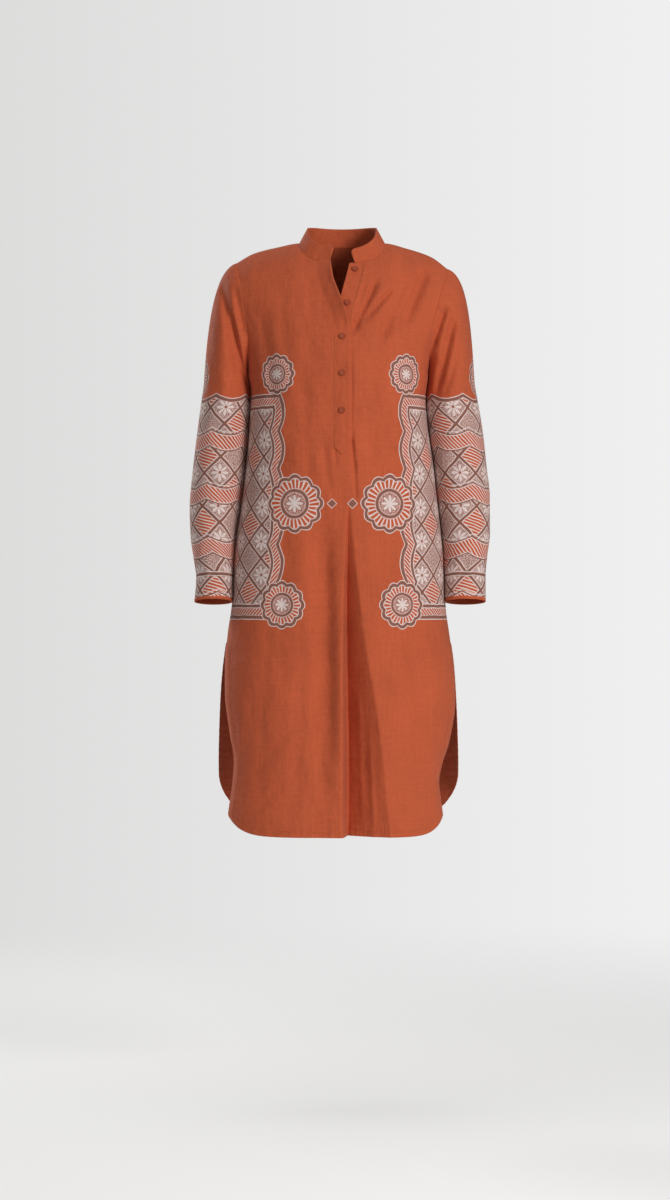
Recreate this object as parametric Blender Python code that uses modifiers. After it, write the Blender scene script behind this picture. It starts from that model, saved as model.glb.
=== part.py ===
"""Kurta tunic in linen, as it hangs when worn: a hollow shell of cut and sewn pieces.

Metres, +Z up. The front faces -Y and the wearer's right is at -X. The origin lies
on the shoulder line, at the height of the points where the shoulders meet the neck.
"""

import math
from collections import namedtuple

import bmesh
import bpy
import numpy as np
from mathutils import Vector

# Cloth
WALL = 0.0012
COLLAR_WALL = 0.0018
SEAM_GAP = 0.0006
SEAM_REACH = 0.010
LAID_ON_GAP = 0.0004

# Body
CENTRE_X = 0.005
RIDGE_Y = 0.006
NECK_HALF_WIDTH = 0.071
NECK_DROP = 0.040
NECK_SQUARENESS = 2.2
NAPE_RISE = 0.040
NAPE_ROUNDNESS = 0.85
SHOULDER_REACH = 0.150
NECK_FLOW = 0.030
FOLD_FADE = 0.5
YOKE_BASE_Z = -0.240
SLOT_END_Z = -0.330
SLIT_TOP_Z = -0.670
FRONT_HEM_Z = -1.001
FRONT_CORNER_RISE = 0.032
FRONT_CORNER_POWER = 9.0
BACK_HEM_Z = -1.000
BACK_CORNER_RISE = 0.080
BACK_CORNER_POWER = 4.5

# Collar
COLLAR_RIGHT_END_X = -0.015
COLLAR_LEFT_END_X = 0.026
COLLAR_FRONT_HEIGHT = 0.0225
COLLAR_BACK_HEIGHT = 0.030
COLLAR_SIDE_LEAN = 0.014
COLLAR_FRONT_LEAN = 0.006
COLLAR_FRONT_Y = -0.030
COLLAR_BACK_Y = 0.050
COLLAR_CORNER_RADIUS = 0.006
COLLAR_CORNER_STATIONS = (0.0015, 0.004)

# Placket
PLACKET_LAP = 0.002
PLACKET_SIDE_END_Z = -0.354
PLACKET_POINT_Z = -0.366
PLACKET_CENTRE_X = 0.005

# Sleeves
CUFF_SEAM_Z = -0.570
CUFF_END_Z = -0.610
CAP_START_PULL = 0.50
CAP_END_PULL = 1.55
CAP_START_DIP = 0.35
CAP_END_FLARE = 0.06

# Buttons
BUTTON_RADIUS = 0.0053
BUTTON_THICKNESS = 0.0026
BUTTON_RIM_WIDTH = 0.0012
BUTTON_DISH = 0.0007
BUTTON_EDGE = 0.0005
BUTTON_SEAT_GAP = 0.0004
BUTTON_STEPS = 16

# Mesh density, in steps of the grids
OUTER_COLUMNS = 7
NECK_COLUMNS = 7
SLOT_COLUMNS = 4
YOKE_ROWS = 11
SLOT_ROWS = 2
WAIST_ROWS = 8
TAIL_ROWS = 8
BACK_NECK_COLUMNS = 12
SLEEVE_COLUMNS = 24
CAP_ROWS = 7
ARM_ROWS = 9
CUFF_ROWS = 2
COLLAR_ROWS = 3
COLLAR_END_COLUMNS = 3
PLACKET_COLUMNS = 4
NECK_SHARE = 0.62
LAP_SHARE = 0.9867
SLOPE_STEP = 0.001

LINEN_COLOUR = (0.46, 0.105, 0.035, 1.0)
BUTTON_COLOUR = (0.40, 0.095, 0.035, 1.0)


def table(columns, *rows):
    """Return the rows as one array for each named column."""
    return namedtuple("Table", columns)(*np.array(rows, float).T)


RIGHT, LEFT = -1, 1

# The shoulder line, from the right sleeve's seam to the left sleeve's
RIDGE = table(
    "x height",
    (-0.175, -0.034),
    (-0.144, -0.017),
    (-0.105, -0.007),
    (-0.066, 0.000),
    (0.076, 0.000),
    (0.115, -0.009),
    (0.156, -0.023),
    (0.185, -0.044),
)

# Each side's edges from the shoulder tip, down the armhole to the underarm at
# the first row where front_y meets back_y, then the side seam and the slit
SIDE_COLUMNS = "height front_x front_y back_x back_y"
RIGHT_SIDE = table(
    SIDE_COLUMNS,
    (-0.034, -0.175, 0.006, -0.175, 0.006),
    (-0.050, -0.172, -0.018, -0.172, 0.029),
    (-0.069, -0.167, -0.035, -0.167, 0.045),
    (-0.112, -0.160, -0.052, -0.160, 0.060),
    (-0.156, -0.154, -0.050, -0.154, 0.057),
    (-0.190, -0.153, -0.035, -0.153, 0.040),
    (-0.212, -0.154, -0.015, -0.154, 0.018),
    (-0.221, -0.155, 0.000, -0.155, 0.000),
    (-0.252, -0.150, 0.000, -0.150, 0.000),
    (-0.318, -0.153, 0.000, -0.153, 0.000),
    (-0.387, -0.159, 0.000, -0.159, 0.000),
    (-0.450, -0.167, 0.000, -0.167, 0.000),
    (-0.500, -0.175, 0.000, -0.175, 0.000),
    (-0.541, -0.179, 0.000, -0.179, 0.000),
    (-0.610, -0.182, 0.000, -0.182, 0.000),
    (-0.670, -0.190, 0.000, -0.190, 0.000),
    (-0.720, -0.193, -0.008, -0.197, 0.008),
    (-0.765, -0.1925, -0.015, -0.201, 0.016),
    (-0.833, -0.184, -0.024, -0.204, 0.024),
    (-0.878, -0.177, -0.030, -0.205, 0.028),
    (-0.901, -0.178, -0.032, -0.205, 0.030),
    (-0.969, -0.187, -0.030, -0.205, 0.034),
)
LEFT_SIDE = table(
    SIDE_COLUMNS,
    (-0.044, 0.185, 0.006, 0.185, 0.006),
    (-0.060, 0.181, -0.018, 0.181, 0.029),
    (-0.082, 0.174, -0.036, 0.174, 0.046),
    (-0.119, 0.163, -0.052, 0.163, 0.060),
    (-0.156, 0.157, -0.050, 0.157, 0.057),
    (-0.189, 0.153, -0.035, 0.153, 0.040),
    (-0.211, 0.152, -0.015, 0.152, 0.018),
    (-0.220, 0.152, 0.000, 0.152, 0.000),
    (-0.267, 0.147, 0.000, 0.147, 0.000),
    (-0.324, 0.152, 0.000, 0.152, 0.000),
    (-0.377, 0.160, 0.000, 0.160, 0.000),
    (-0.430, 0.166, 0.000, 0.166, 0.000),
    (-0.494, 0.174, 0.000, 0.174, 0.000),
    (-0.534, 0.178, 0.000, 0.178, 0.000),
    (-0.617, 0.181, 0.000, 0.181, 0.000),
    (-0.670, 0.188, 0.000, 0.188, 0.000),
    (-0.720, 0.194, -0.008, 0.195, 0.008),
    (-0.776, 0.196, -0.015, 0.199, 0.016),
    (-0.844, 0.186, -0.024, 0.202, 0.024),
    (-0.885, 0.173, -0.030, 0.203, 0.028),
    (-0.912, 0.168, -0.032, 0.203, 0.030),
    (-0.957, 0.173, -0.031, 0.203, 0.034),
    (-0.980, 0.176, -0.030, 0.203, 0.034),
)

SIDES = {RIGHT: RIGHT_SIDE, LEFT: LEFT_SIDE}
UNDERARM_ROW = 7

# How the plan section turns from the flat chest at the armholes to the round sides
SECTION = table(
    "height power roundness",
    (-1.000, 2.6, 0.55),
    (-0.670, 2.5, 0.45),
    (-0.240, 2.5, 0.45),
    (-0.160, 3.0, 0.90),
    (-0.120, 3.0, 1.00),
)

# How far the front and the back stand from the shoulder line, by the drop below it
DEPTH = table(
    "drop front back",
    (0.000, 0.000, 0.000),
    (0.001, 0.009, 0.008),
    (0.010, 0.027, 0.023),
    (0.025, 0.048, 0.041),
    (0.045, 0.066, 0.058),
    (0.080, 0.086, 0.078),
    (0.130, 0.105, 0.095),
    (0.180, 0.118, 0.102),
    (0.230, 0.126, 0.103),
    (0.300, 0.130, 0.100),
    (0.400, 0.132, 0.098),
    (0.550, 0.135, 0.108),
    (0.700, 0.138, 0.120),
    (1.000, 0.141, 0.128),
)

# The slot's edges down to SLOT_END_Z, and below it the lines that the pleat follows
SLOT = table(
    "height right_x left_x",
    (-0.033, -0.039, 0.043),
    (-0.070, -0.034, 0.035),
    (-0.100, -0.023, 0.027),
    (-0.125, -0.012, 0.0205),
    (-0.150, -0.008, 0.0170),
    (-0.176, -0.007, 0.0155),
    (-0.330, -0.007, 0.0155),
    (-0.441, -0.002, 0.0155),
    (-0.520, 0.002, 0.0160),
    (-0.607, 0.004, 0.0180),
    (-0.690, 0.0045, 0.0230),
    (-0.772, 0.004, 0.0290),
    (-1.001, 0.004, 0.0310),
)

# The plackets' free edges
PLACKET = table(
    "height over_x under_x",
    (-0.037, -0.0150, 0.0180),
    (-0.070, -0.0110, 0.0100),
    (-0.100, -0.0010, 0.0020),
    (-0.125, 0.0080, -0.0030),
    (-0.150, 0.0140, -0.0055),
    (-0.176, 0.0170, -0.0062),
    (-0.366, 0.0170, -0.0062),
)

# The pleat below the placket: its crisp fold, the bottom of its valley and where
# the valley's slope ends
PLEAT = table(
    "height fold_x valley_x slope_x depth",
    (-0.441, 0.0130, 0.0155, 0.0180, 0.000),
    (-0.516, 0.0095, 0.0160, 0.0220, 0.004),
    (-0.607, 0.0060, 0.0180, 0.0340, 0.009),
    (-0.690, 0.0045, 0.0230, 0.0460, 0.014),
    (-0.772, 0.0040, 0.0290, 0.0630, 0.019),
    (-0.910, 0.0040, 0.0310, 0.0790, 0.024),
    (-1.001, 0.0040, 0.0310, 0.0890, 0.026),
)

# Each sleeve's rings from the biceps to the cuff's end
RING_COLUMNS = "height outer_x inner_x centre_y half_depth tilt"
RIGHT_SLEEVE = table(
    RING_COLUMNS,
    (-0.240, -0.2305, -0.1558, 0.008, 0.061, 0.00),
    (-0.318, -0.2410, -0.1575, 0.006, 0.061, 0.02),
    (-0.387, -0.2490, -0.1630, 0.003, 0.058, 0.05),
    (-0.450, -0.2540, -0.1710, -0.003, 0.055, 0.08),
    (-0.500, -0.2520, -0.1790, -0.010, 0.051, 0.10),
    (-0.541, -0.2460, -0.1820, -0.017, 0.045, 0.12),
    (-0.570, -0.2420, -0.1830, -0.021, 0.038, 0.13),
    (-0.610, -0.2450, -0.1820, -0.027, 0.036, 0.14),
)
LEFT_SLEEVE = table(
    RING_COLUMNS,
    (-0.240, 0.2310, 0.1535, 0.008, 0.061, 0.00),
    (-0.324, 0.2450, 0.1560, 0.006, 0.061, 0.02),
    (-0.381, 0.2510, 0.1650, 0.003, 0.058, 0.05),
    (-0.431, 0.2560, 0.1700, -0.003, 0.055, 0.08),
    (-0.494, 0.2560, 0.1780, -0.010, 0.051, 0.10),
    (-0.534, 0.2510, 0.1810, -0.017, 0.045, 0.12),
    (-0.570, 0.2480, 0.1820, -0.021, 0.038, 0.13),
    (-0.610, 0.2480, 0.1810, -0.027, 0.036, 0.14),
)

SLEEVES = {RIGHT: RIGHT_SLEEVE, LEFT: LEFT_SLEEVE}

# The largest folds: a trough from start to end, with its half-width and depth
Fold = namedtuple("Fold", "start_x start_z end_x end_z width depth")
FRONT_FOLDS = (
    Fold(-0.038, -0.480, -0.014, -0.860, 0.013, 0.006),
    Fold(0.143, -0.056, 0.108, -0.140, 0.012, 0.004),
    Fold(0.061, -0.076, 0.020, -0.156, 0.008, 0.003),
)
BACK_FOLDS = (
    Fold(-0.070, -0.560, -0.090, -0.940, 0.020, 0.008),
    Fold(0.060, -0.600, 0.085, -0.960, 0.022, 0.009),
)
SLEEVE_FOLDS = {
    RIGHT: (
        Fold(-0.197, -0.075, -0.170, -0.240, 0.009, 0.004),
        Fold(-0.215, -0.300, -0.180, -0.370, 0.012, 0.004),
    ),
    LEFT: (
        Fold(0.195, -0.130, 0.166, -0.267, 0.009, 0.004),
        Fold(0.218, -0.330, 0.182, -0.390, 0.012, 0.004),
    ),
}

# Each button's place, and the placket that it lies on
Button = namedtuple("Button", "x z on_over_placket")
BUTTONS = (
    Button(0.0266, -0.0518, False),
    Button(0.0135, -0.1110, False),
    Button(PLACKET_CENTRE_X, -0.1690, True),
    Button(PLACKET_CENTRE_X, -0.2300, True),
    Button(PLACKET_CENTRE_X, -0.2924, True),
)


def hermite(start, end, start_pull, end_pull, t):
    """Return the cubic from start to end with the given end tangents."""
    return (
        (2 * t**3 - 3 * t**2 + 1) * start
        + (t**3 - 2 * t**2 + t) * start_pull
        + (3 * t**2 - 2 * t**3) * end
        + (t**3 - t**2) * end_pull
    )


def read(keys, values, at):
    """Read a smooth curve through a table, which adds no rise or fall of its own."""
    order = np.argsort(keys)
    keys, values = keys[order], values[order]
    span = np.diff(keys)
    rise = np.diff(values) / span
    product, total = rise[:-1] * rise[1:], rise[:-1] + rise[1:]
    level = product <= 0
    inner = np.where(level, 0.0, 2 * product / np.where(level, 1.0, total))
    slope = np.concatenate([rise[:1], inner, rise[-1:]])
    at = np.clip(at, keys[0], keys[-1])
    i = np.clip(np.searchsorted(keys, at, side="right") - 1, 0, len(span) - 1)
    t = (at - keys[i]) / span[i]
    return hermite(values[i], values[i + 1], slope[i] * span[i], slope[i + 1] * span[i], t)


def mix(start, end, t):
    """Return the value a share t of the way from start to end."""
    return start + (end - start) * t


def soft_step(t):
    """Return 0 to 1 for t from 0 to 1, level at both ends."""
    t = np.clip(t, 0.0, 1.0)
    return t * t * (3 - 2 * t)


def trough(folds, x, z):
    """Return how far the listed folds press the cloth in at x, z."""
    depth = np.zeros_like(x)
    for fold in folds:
        run_x, run_z = fold.end_x - fold.start_x, fold.end_z - fold.start_z
        length = math.hypot(run_x, run_z)
        along = ((x - fold.start_x) * run_x + (z - fold.start_z) * run_z) / length**2
        across = ((x - fold.start_x) * run_z - (z - fold.start_z) * run_x) / length
        taper = soft_step(2 - 2 * abs(2 * along - 1))
        depth += fold.depth * np.exp(-((across / fold.width) ** 2)) * taper
    return depth


def pleat(x, z):
    """Return how far the pleat below the placket presses the front in."""
    fold_x = read(PLEAT.height, PLEAT.fold_x, z)
    valley_x = read(PLEAT.height, PLEAT.valley_x, z)
    slope_x = read(PLEAT.height, PLEAT.slope_x, z)
    into = soft_step((x - fold_x) / (valley_x - fold_x))
    out_of = 1 - soft_step((x - valley_x) / (slope_x - valley_x))
    return read(PLEAT.height, PLEAT.depth, z) * into * out_of


def edge(side, column, height):
    """Read a column of a side's edges, which leave the shoulder's tip level."""
    rows = SIDES[side]
    tip = rows.height[0]
    keys = np.sqrt(tip - rows.height)
    return read(keys, getattr(rows, column), np.sqrt(np.maximum(tip - height, 0)))


def nearest_edge(front, x, z):
    """Return the x and y of the panel's side edge on the same side as x.

    High up, y is read as far below the tip as the point lies below the shoulder line.
    """
    name = "front" if front else "back"
    shoulder = read(RIDGE.x, RIDGE.height, x)
    high_up = soft_step(1 - (shoulder - z) / SHOULDER_REACH)
    edges = []
    for side in (RIGHT, LEFT):
        level = z - (shoulder - SIDES[side].height[0]) * high_up
        edges.append((edge(side, f"{name}_x", z), edge(side, f"{name}_y", level)))
    (right_x, right_y), (left_x, left_y) = edges
    on_left = x > CENTRE_X
    return np.where(on_left, left_x, right_x), np.where(on_left, left_y, right_y)


def ridge_height(front, x):
    """Return the height that a panel falls from: the shoulders, or the nape's rise."""
    height = read(RIDGE.x, RIDGE.height, x)
    if front:
        return height
    across = np.clip((x - CENTRE_X) / NECK_HALF_WIDTH, -1, 1)
    return height + NAPE_RISE * (1 - across**2) ** NAPE_ROUNDNESS


def body_y(front, x, z):
    """Return the y of the outer face of the front or back at x, z."""
    facing = -1 if front else 1
    edge_x, edge_y = nearest_edge(front, x, z)
    across = np.clip(abs((x - CENTRE_X) / (edge_x - CENTRE_X)), 0, 1)
    power = read(SECTION.height, SECTION.power, z)
    roundness = read(SECTION.height, SECTION.roundness, z)
    fullness = (1 - across**power) ** roundness
    drop = np.maximum(ridge_height(front, x) - z, 0)
    depth = read(np.sqrt(DEPTH.drop), DEPTH.front if front else DEPTH.back, np.sqrt(drop))
    y = edge_y + (RIDGE_Y + facing * depth - edge_y) * fullness
    pressed = trough(FRONT_FOLDS, x, z) + pleat(x, z) if front else trough(BACK_FOLDS, x, z)
    return y - facing * pressed * soft_step(fullness / FOLD_FADE)


def body_points(front, x, z, lift=0.0):
    """Return points on the body's outer face, moved out by lift."""
    y = body_y(front, x, z)
    points = np.stack([x, y, z], axis=-1)
    if not lift:
        return points
    rise_x = body_y(front, x + SLOPE_STEP, z) - body_y(front, x - SLOPE_STEP, z)
    rise_z = body_y(front, x, z + SLOPE_STEP) - body_y(front, x, z - SLOPE_STEP)
    run = np.full_like(y, 2 * SLOPE_STEP)
    out = np.stack([rise_x, -run, rise_z], axis=-1)
    out /= np.linalg.norm(out, axis=-1, keepdims=True)
    return points + (1 if front else -1) * lift * out


def neck_angle(x):
    """Return the angle round the neckline, from the side of the neck, at x."""
    across = abs(x - CENTRE_X) / NECK_HALF_WIDTH
    return math.acos(across ** (NECK_SQUARENESS / 2))


def neckline(side, angle):
    """Return x and z of the front neckline on one side, from its angle."""
    power = 2 / NECK_SQUARENESS
    x = CENTRE_X + side * NECK_HALF_WIDTH * np.cos(angle) ** power
    return x, -NECK_DROP * np.sin(angle) ** power


def neck_height(x):
    """Return the height of the front neckline at x."""
    across = np.clip(abs(x - CENTRE_X) / NECK_HALF_WIDTH, 0, 1)
    return -NECK_DROP * (1 - across**NECK_SQUARENESS) ** (1 / NECK_SQUARENESS)


def patch(top, bottom, start, end, across, down):
    """Fill a patch between four edges; each edge is an array of x, z pairs."""
    u, v = across[None, :, None], down[:, None, None]
    edges = (1 - v) * top[None] + v * bottom[None] + (1 - u) * start[:, None] + u * end[:, None]
    corners = (1 - v) * mix(top[0], top[-1], u) + v * mix(bottom[0], bottom[-1], u)
    return edges - corners


def slot_edge(side, z):
    """Return the x of the slot's edge on one side, and of the pleat's line below it."""
    return read(SLOT.height, SLOT.right_x if side == RIGHT else SLOT.left_x, z)


def outer_shares():
    """Return the shares of the way across at which the columns lie, dense at the edge."""
    return 1 - np.cos(np.linspace(0, math.pi / 2, OUTER_COLUMNS + 1))


def front_shares():
    """Return the columns' shares of the way from the side edge to the slot."""
    inner = np.linspace(NECK_SHARE, 1, NECK_COLUMNS + 1)
    return np.concatenate([NECK_SHARE * outer_shares(), inner[1:-1], [LAP_SHARE, 1]])


def neck_angles(side):
    """Return the angles on the front neckline at which the front's columns end."""
    share = (front_shares()[OUTER_COLUMNS:] - NECK_SHARE) / (1 - NECK_SHARE)
    return neck_angle(slot_edge(side, SLOT.height[0])) * np.clip(share, 0, 1)


def yoke_drops():
    """Return how the rows from the shoulder to the yoke's base share out its height."""
    return np.linspace(0, 1, YOKE_ROWS + 1) ** 2


def neck_flow():
    """Return how far each yoke row bends outwards where it passes the neck's side."""
    return NECK_FLOW * np.sin(math.pi * np.sqrt(yoke_drops()))


def slot_rows():
    """Return the heights of the rows from below the yoke's base to the slot's end."""
    return np.linspace(YOKE_BASE_Z, SLOT_END_Z, SLOT_ROWS + 1)[1:]


def lower_rows(hem_z):
    """Return the heights of the rows below the yoke's base, down to a curved hem."""
    waist = np.concatenate([slot_rows(), np.linspace(SLOT_END_Z, SLIT_TOP_Z, WAIST_ROWS + 1)[1:]])
    share = np.linspace(0, 1, TAIL_ROWS + 1)[1:, None]
    return np.concatenate([waist[:, None] + 0 * hem_z, mix(SLIT_TOP_Z, hem_z[None], share)])


def front_half(side):
    """Return x, z of half the front, from its side edge to the slot, in rows going down."""
    across = front_shares()
    ridge_share = across[: OUTER_COLUMNS + 1] / NECK_SHARE
    ridge_x = mix(edge(side, "front_x", 0.0), CENTRE_X + side * NECK_HALF_WIDTH, ridge_share)
    ridge = np.stack([ridge_x, read(RIDGE.x, RIDGE.height, ridge_x)], axis=-1)
    top = np.concatenate([ridge, np.stack(neckline(side, neck_angles(side)), axis=-1)[1:]])
    down = yoke_drops()
    start_z, end_z = mix(top[0, 1], YOKE_BASE_Z, down), mix(top[-1, 1], YOKE_BASE_Z, down)
    bottom_z = np.full_like(across, YOKE_BASE_Z)
    bottom_x = mix(edge(side, "front_x", bottom_z), slot_edge(side, bottom_z), across)
    yoke = patch(
        top,
        np.stack([bottom_x, bottom_z], axis=-1),
        np.stack([edge(side, "front_x", start_z), start_z], axis=-1),
        np.stack([slot_edge(side, end_z), end_z], axis=-1),
        across,
        down,
    )
    turn = np.cos(neck_angles(side)[1:])
    weight = np.concatenate([ridge_share**2, (turn - turn[-1]) / (1 - turn[-1])])
    yoke[..., 0] += side * neck_flow()[:, None] * weight
    z = lower_rows(FRONT_HEM_Z + FRONT_CORNER_RISE * (1 - across) ** FRONT_CORNER_POWER)
    x = mix(edge(side, "front_x", z), slot_edge(side, z), across)
    return np.concatenate([yoke, np.stack([x, z], axis=-1)])


def part_seams(front, points):
    """Move a panel's points so that its shoulder and side seams stay apart."""
    x, z = points[..., 0], points[..., 2]
    below = np.maximum(read(RIDGE.x, RIDGE.height, x) - z, 0)
    inside = abs(nearest_edge(front, x, z)[0] - x)
    near = np.maximum(np.exp(-below / SEAM_REACH), np.exp(-inside / SEAM_REACH))
    points[..., 1] += (-1 if front else 1) * SEAM_GAP / 2 * near
    return points


def front_panel_grid():
    """Return the front's points, and which of its faces are left once the slot is cut."""
    right, left = front_half(RIGHT), front_half(LEFT)[:, ::-1]
    share = np.linspace(0, 1, SLOT_COLUMNS + 1)[1:-1][None, :, None]
    middle = mix(right[:, -1:], left[:, :1], share)
    flat = np.concatenate([right, middle, left], axis=1)
    points = part_seams(True, body_points(True, flat[..., 0], flat[..., 1]))
    keep = np.ones((points.shape[0] - 1, points.shape[1] - 1), bool)
    first = right.shape[1] - 1
    keep[: YOKE_ROWS + SLOT_ROWS, first : first + SLOT_COLUMNS] = False
    return points, keep


def back_panel_grid():
    """Return the back's points, with columns from the left side to the right."""
    neck_left, neck_right = CENTRE_X + NECK_HALF_WIDTH, CENTRE_X - NECK_HALF_WIDTH
    top_x = np.concatenate(
        [
            mix(edge(LEFT, "back_x", 0.0), neck_left, outer_shares()),
            CENTRE_X + NECK_HALF_WIDTH * np.cos(back_neck_angles()[1:-1]),
            mix(edge(RIGHT, "back_x", 0.0), neck_right, outer_shares())[::-1],
        ]
    )
    top = np.stack([top_x, read(RIDGE.x, RIDGE.height, top_x)], axis=-1)
    neck_share = NECK_SHARE / 2
    across = np.concatenate(
        [
            neck_share * outer_shares(),
            np.linspace(neck_share, 1 - neck_share, BACK_NECK_COLUMNS + 1)[1:-1],
            1 - neck_share * outer_shares()[::-1],
        ]
    )
    down = yoke_drops()
    left_z, right_z = mix(top[0, 1], YOKE_BASE_Z, down), mix(top[-1, 1], YOKE_BASE_Z, down)
    bottom_z = np.full_like(across, YOKE_BASE_Z)
    bottom_x = mix(edge(LEFT, "back_x", bottom_z), edge(RIGHT, "back_x", bottom_z), across)
    yoke = patch(
        top,
        np.stack([bottom_x, bottom_z], axis=-1),
        np.stack([edge(LEFT, "back_x", left_z), left_z], axis=-1),
        np.stack([edge(RIGHT, "back_x", right_z), right_z], axis=-1),
        across,
        down,
    )
    weight = np.concatenate(
        [outer_shares() ** 2, np.cos(back_neck_angles()[1:-1]), -outer_shares()[::-1] ** 2]
    )
    yoke[..., 0] += neck_flow()[:, None] * weight
    z = lower_rows(BACK_HEM_Z + BACK_CORNER_RISE * abs(2 * across - 1) ** BACK_CORNER_POWER)
    x = mix(edge(LEFT, "back_x", z), edge(RIGHT, "back_x", z), across)
    flat = np.concatenate([yoke, np.stack([x, z], axis=-1)])
    return part_seams(False, body_points(False, flat[..., 0], flat[..., 1]))


def back_neck_angles():
    """Return the angles on the back neckline at which the back's columns end."""
    return np.linspace(0, math.pi, BACK_NECK_COLUMNS + 1)


def collar_base():
    """Return points along the neckline, from the collar's right end round the back."""
    fronts = []
    for side, end_x in ((RIGHT, COLLAR_RIGHT_END_X), (LEFT, COLLAR_LEFT_END_X)):
        sewn = neck_angles(side)
        on_placket = np.linspace(sewn[-1], neck_angle(end_x), COLLAR_END_COLUMNS + 1)[1:]
        fronts.append(body_points(True, *neckline(side, np.concatenate([sewn, on_placket]))))
    back_x = CENTRE_X + NECK_HALF_WIDTH * np.cos(back_neck_angles()[::-1][1:-1])
    back = body_points(False, back_x, np.zeros_like(back_x))
    return np.concatenate([fronts[0][::-1], back, fronts[1]])


def collar_grid():
    """Return the collar's points, in rows going down to its seam."""
    base = collar_base()
    run = np.concatenate([[0], np.cumsum(np.linalg.norm(np.diff(base, axis=0), axis=1))])
    corner = np.array(COLLAR_CORNER_STATIONS)
    stations = np.sort(np.concatenate([run, corner, run[-1] - corner]))
    base = np.stack([np.interp(stations, run, base[:, i]) for i in range(3)], axis=-1)
    to_end = np.minimum(stations, run[-1] - stations)

    behind = soft_step((base[:, 1] - COLLAR_FRONT_Y) / (COLLAR_BACK_Y - COLLAR_FRONT_Y))
    height = mix(COLLAR_FRONT_HEIGHT, COLLAR_BACK_HEIGHT, behind)
    short = np.maximum(COLLAR_CORNER_RADIUS - to_end, 0)
    height -= COLLAR_CORNER_RADIUS - np.sqrt(COLLAR_CORNER_RADIUS**2 - short**2)
    inward = np.stack([CENTRE_X - base[:, 0], -base[:, 1]], axis=-1)
    inward /= np.linalg.norm(inward, axis=1, keepdims=True)
    lean = inward * np.array([COLLAR_SIDE_LEAN, COLLAR_FRONT_LEAN])
    share = np.linspace(1, 0, COLLAR_ROWS + 1)[:, None]
    rise = SEAM_GAP + share * (height[None] - SEAM_GAP)
    flat = base[None, :, :2] + lean[None] * (rise / height[None])[..., None]
    return np.concatenate([flat, (base[None, :, 2] + rise)[..., None]], axis=-1)


def placket_rows(x, last_z):
    """Return heights from the neckline to the yoke's base and on to the last ones."""
    top_z = neck_height(x)[None] - LAID_ON_GAP
    yoke = mix(top_z, YOKE_BASE_Z, yoke_drops()[:, None])
    slot = slot_rows()[:-1, None] + 0 * top_z
    return np.concatenate([yoke, slot, np.broadcast_to(last_z, (len(last_z), len(x)))])


def over_placket_grid():
    """Return the over placket's points, from its sewn edge to its free edge."""
    top_x = np.linspace(SLOT.right_x[0], PLACKET.over_x[0], PLACKET_COLUMNS + 1)
    share = np.linspace(0, 1, PLACKET_COLUMNS + 1)
    end_z = mix(PLACKET_POINT_Z, PLACKET_SIDE_END_Z, abs(2 * share - 1))
    z = placket_rows(top_x, np.stack([np.full_like(share, SLOT_END_Z), end_z]))
    sewn_x = read(SLOT.height, SLOT.right_x, np.maximum(z, SLOT_END_Z))
    x = mix(sewn_x, read(PLACKET.height, PLACKET.over_x, z), share)
    x = np.concatenate([x[:, :1] - PLACKET_LAP, x], axis=1)
    z = np.concatenate([z[:, :1], z], axis=1)
    return body_points(True, x, z, LAID_ON_GAP + WALL)


def under_placket_grid():
    """Return the under placket's points, from its free edge to its sewn edge."""
    share = np.linspace(0, 1, PLACKET_COLUMNS + 1)
    top_x = mix(PLACKET.under_x[0], SLOT.left_x[0], share)
    end_z = np.full((1, len(share)), SLOT_END_Z + SEAM_GAP)
    z = placket_rows(top_x, end_z)
    sewn_x = slot_edge(LEFT, z) - SEAM_GAP
    return body_points(True, mix(read(PLACKET.height, PLACKET.under_x, z), sewn_x, share), z)


def ring_angles():
    """Return the angles round a sleeve, from its outer side forwards."""
    return np.linspace(0, 2 * math.pi, SLEEVE_COLUMNS + 1)[:-1]


def sleeve_ring(side, height):
    """Return a sleeve's ring at a height, which tilts to lie across the forearm."""
    rings, angle = SLEEVES[side], ring_angles()
    outer_x, inner_x, centre_y, half_depth, tilt = (
        read(rings.height, column, height) for column in rings[1:]
    )
    x = (outer_x + inner_x) / 2 + (outer_x - inner_x) / 2 * np.cos(angle)
    y = centre_y - half_depth * np.sin(angle)
    return np.stack([x, y, height - tilt * (y - centre_y)], axis=-1)


def armhole_ring(side):
    """Return the armhole's seam just outside the body, from the shoulder's tip forwards."""
    angle = ring_angles()
    heights = SIDES[side].height
    z = mix(heights[0], heights[UNDERARM_ROW], (1 - np.cos(angle)) / 2)
    x = edge(side, "front_x", z)
    y = np.where(np.sin(angle) >= 0, body_y(True, x, z), body_y(False, x, z))
    return np.stack([x + side * SEAM_GAP, y, z], axis=-1)


def sleeve_grid(side):
    """Return a sleeve's points, in rows from the armhole to the cuff's seam."""
    start = armhole_ring(side)
    end = sleeve_ring(side, SLEEVES[side].height[0])
    distance = np.linalg.norm(end - start, axis=1, keepdims=True)
    start_pull = distance * CAP_START_PULL * np.array([side, 0.0, -CAP_START_DIP])
    end_pull = distance * CAP_END_PULL * np.array([side * CAP_END_FLARE, 0.0, -1.0])
    share = np.linspace(0, 1, CAP_ROWS + 1)[:, None, None]
    cap = hermite(start, end, start_pull, end_pull, share)
    heights = np.linspace(SLEEVES[side].height[0], CUFF_SEAM_Z + SEAM_GAP / 2, ARM_ROWS + 1)
    points = np.concatenate([cap, [sleeve_ring(side, height) for height in heights[1:]]])
    before = np.sin(ring_angles()) > 0
    pressed = trough(SLEEVE_FOLDS[side], points[..., 0], points[..., 2])
    points[..., 1] += pressed * before
    return points if side == RIGHT else points[:, ::-1]


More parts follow.
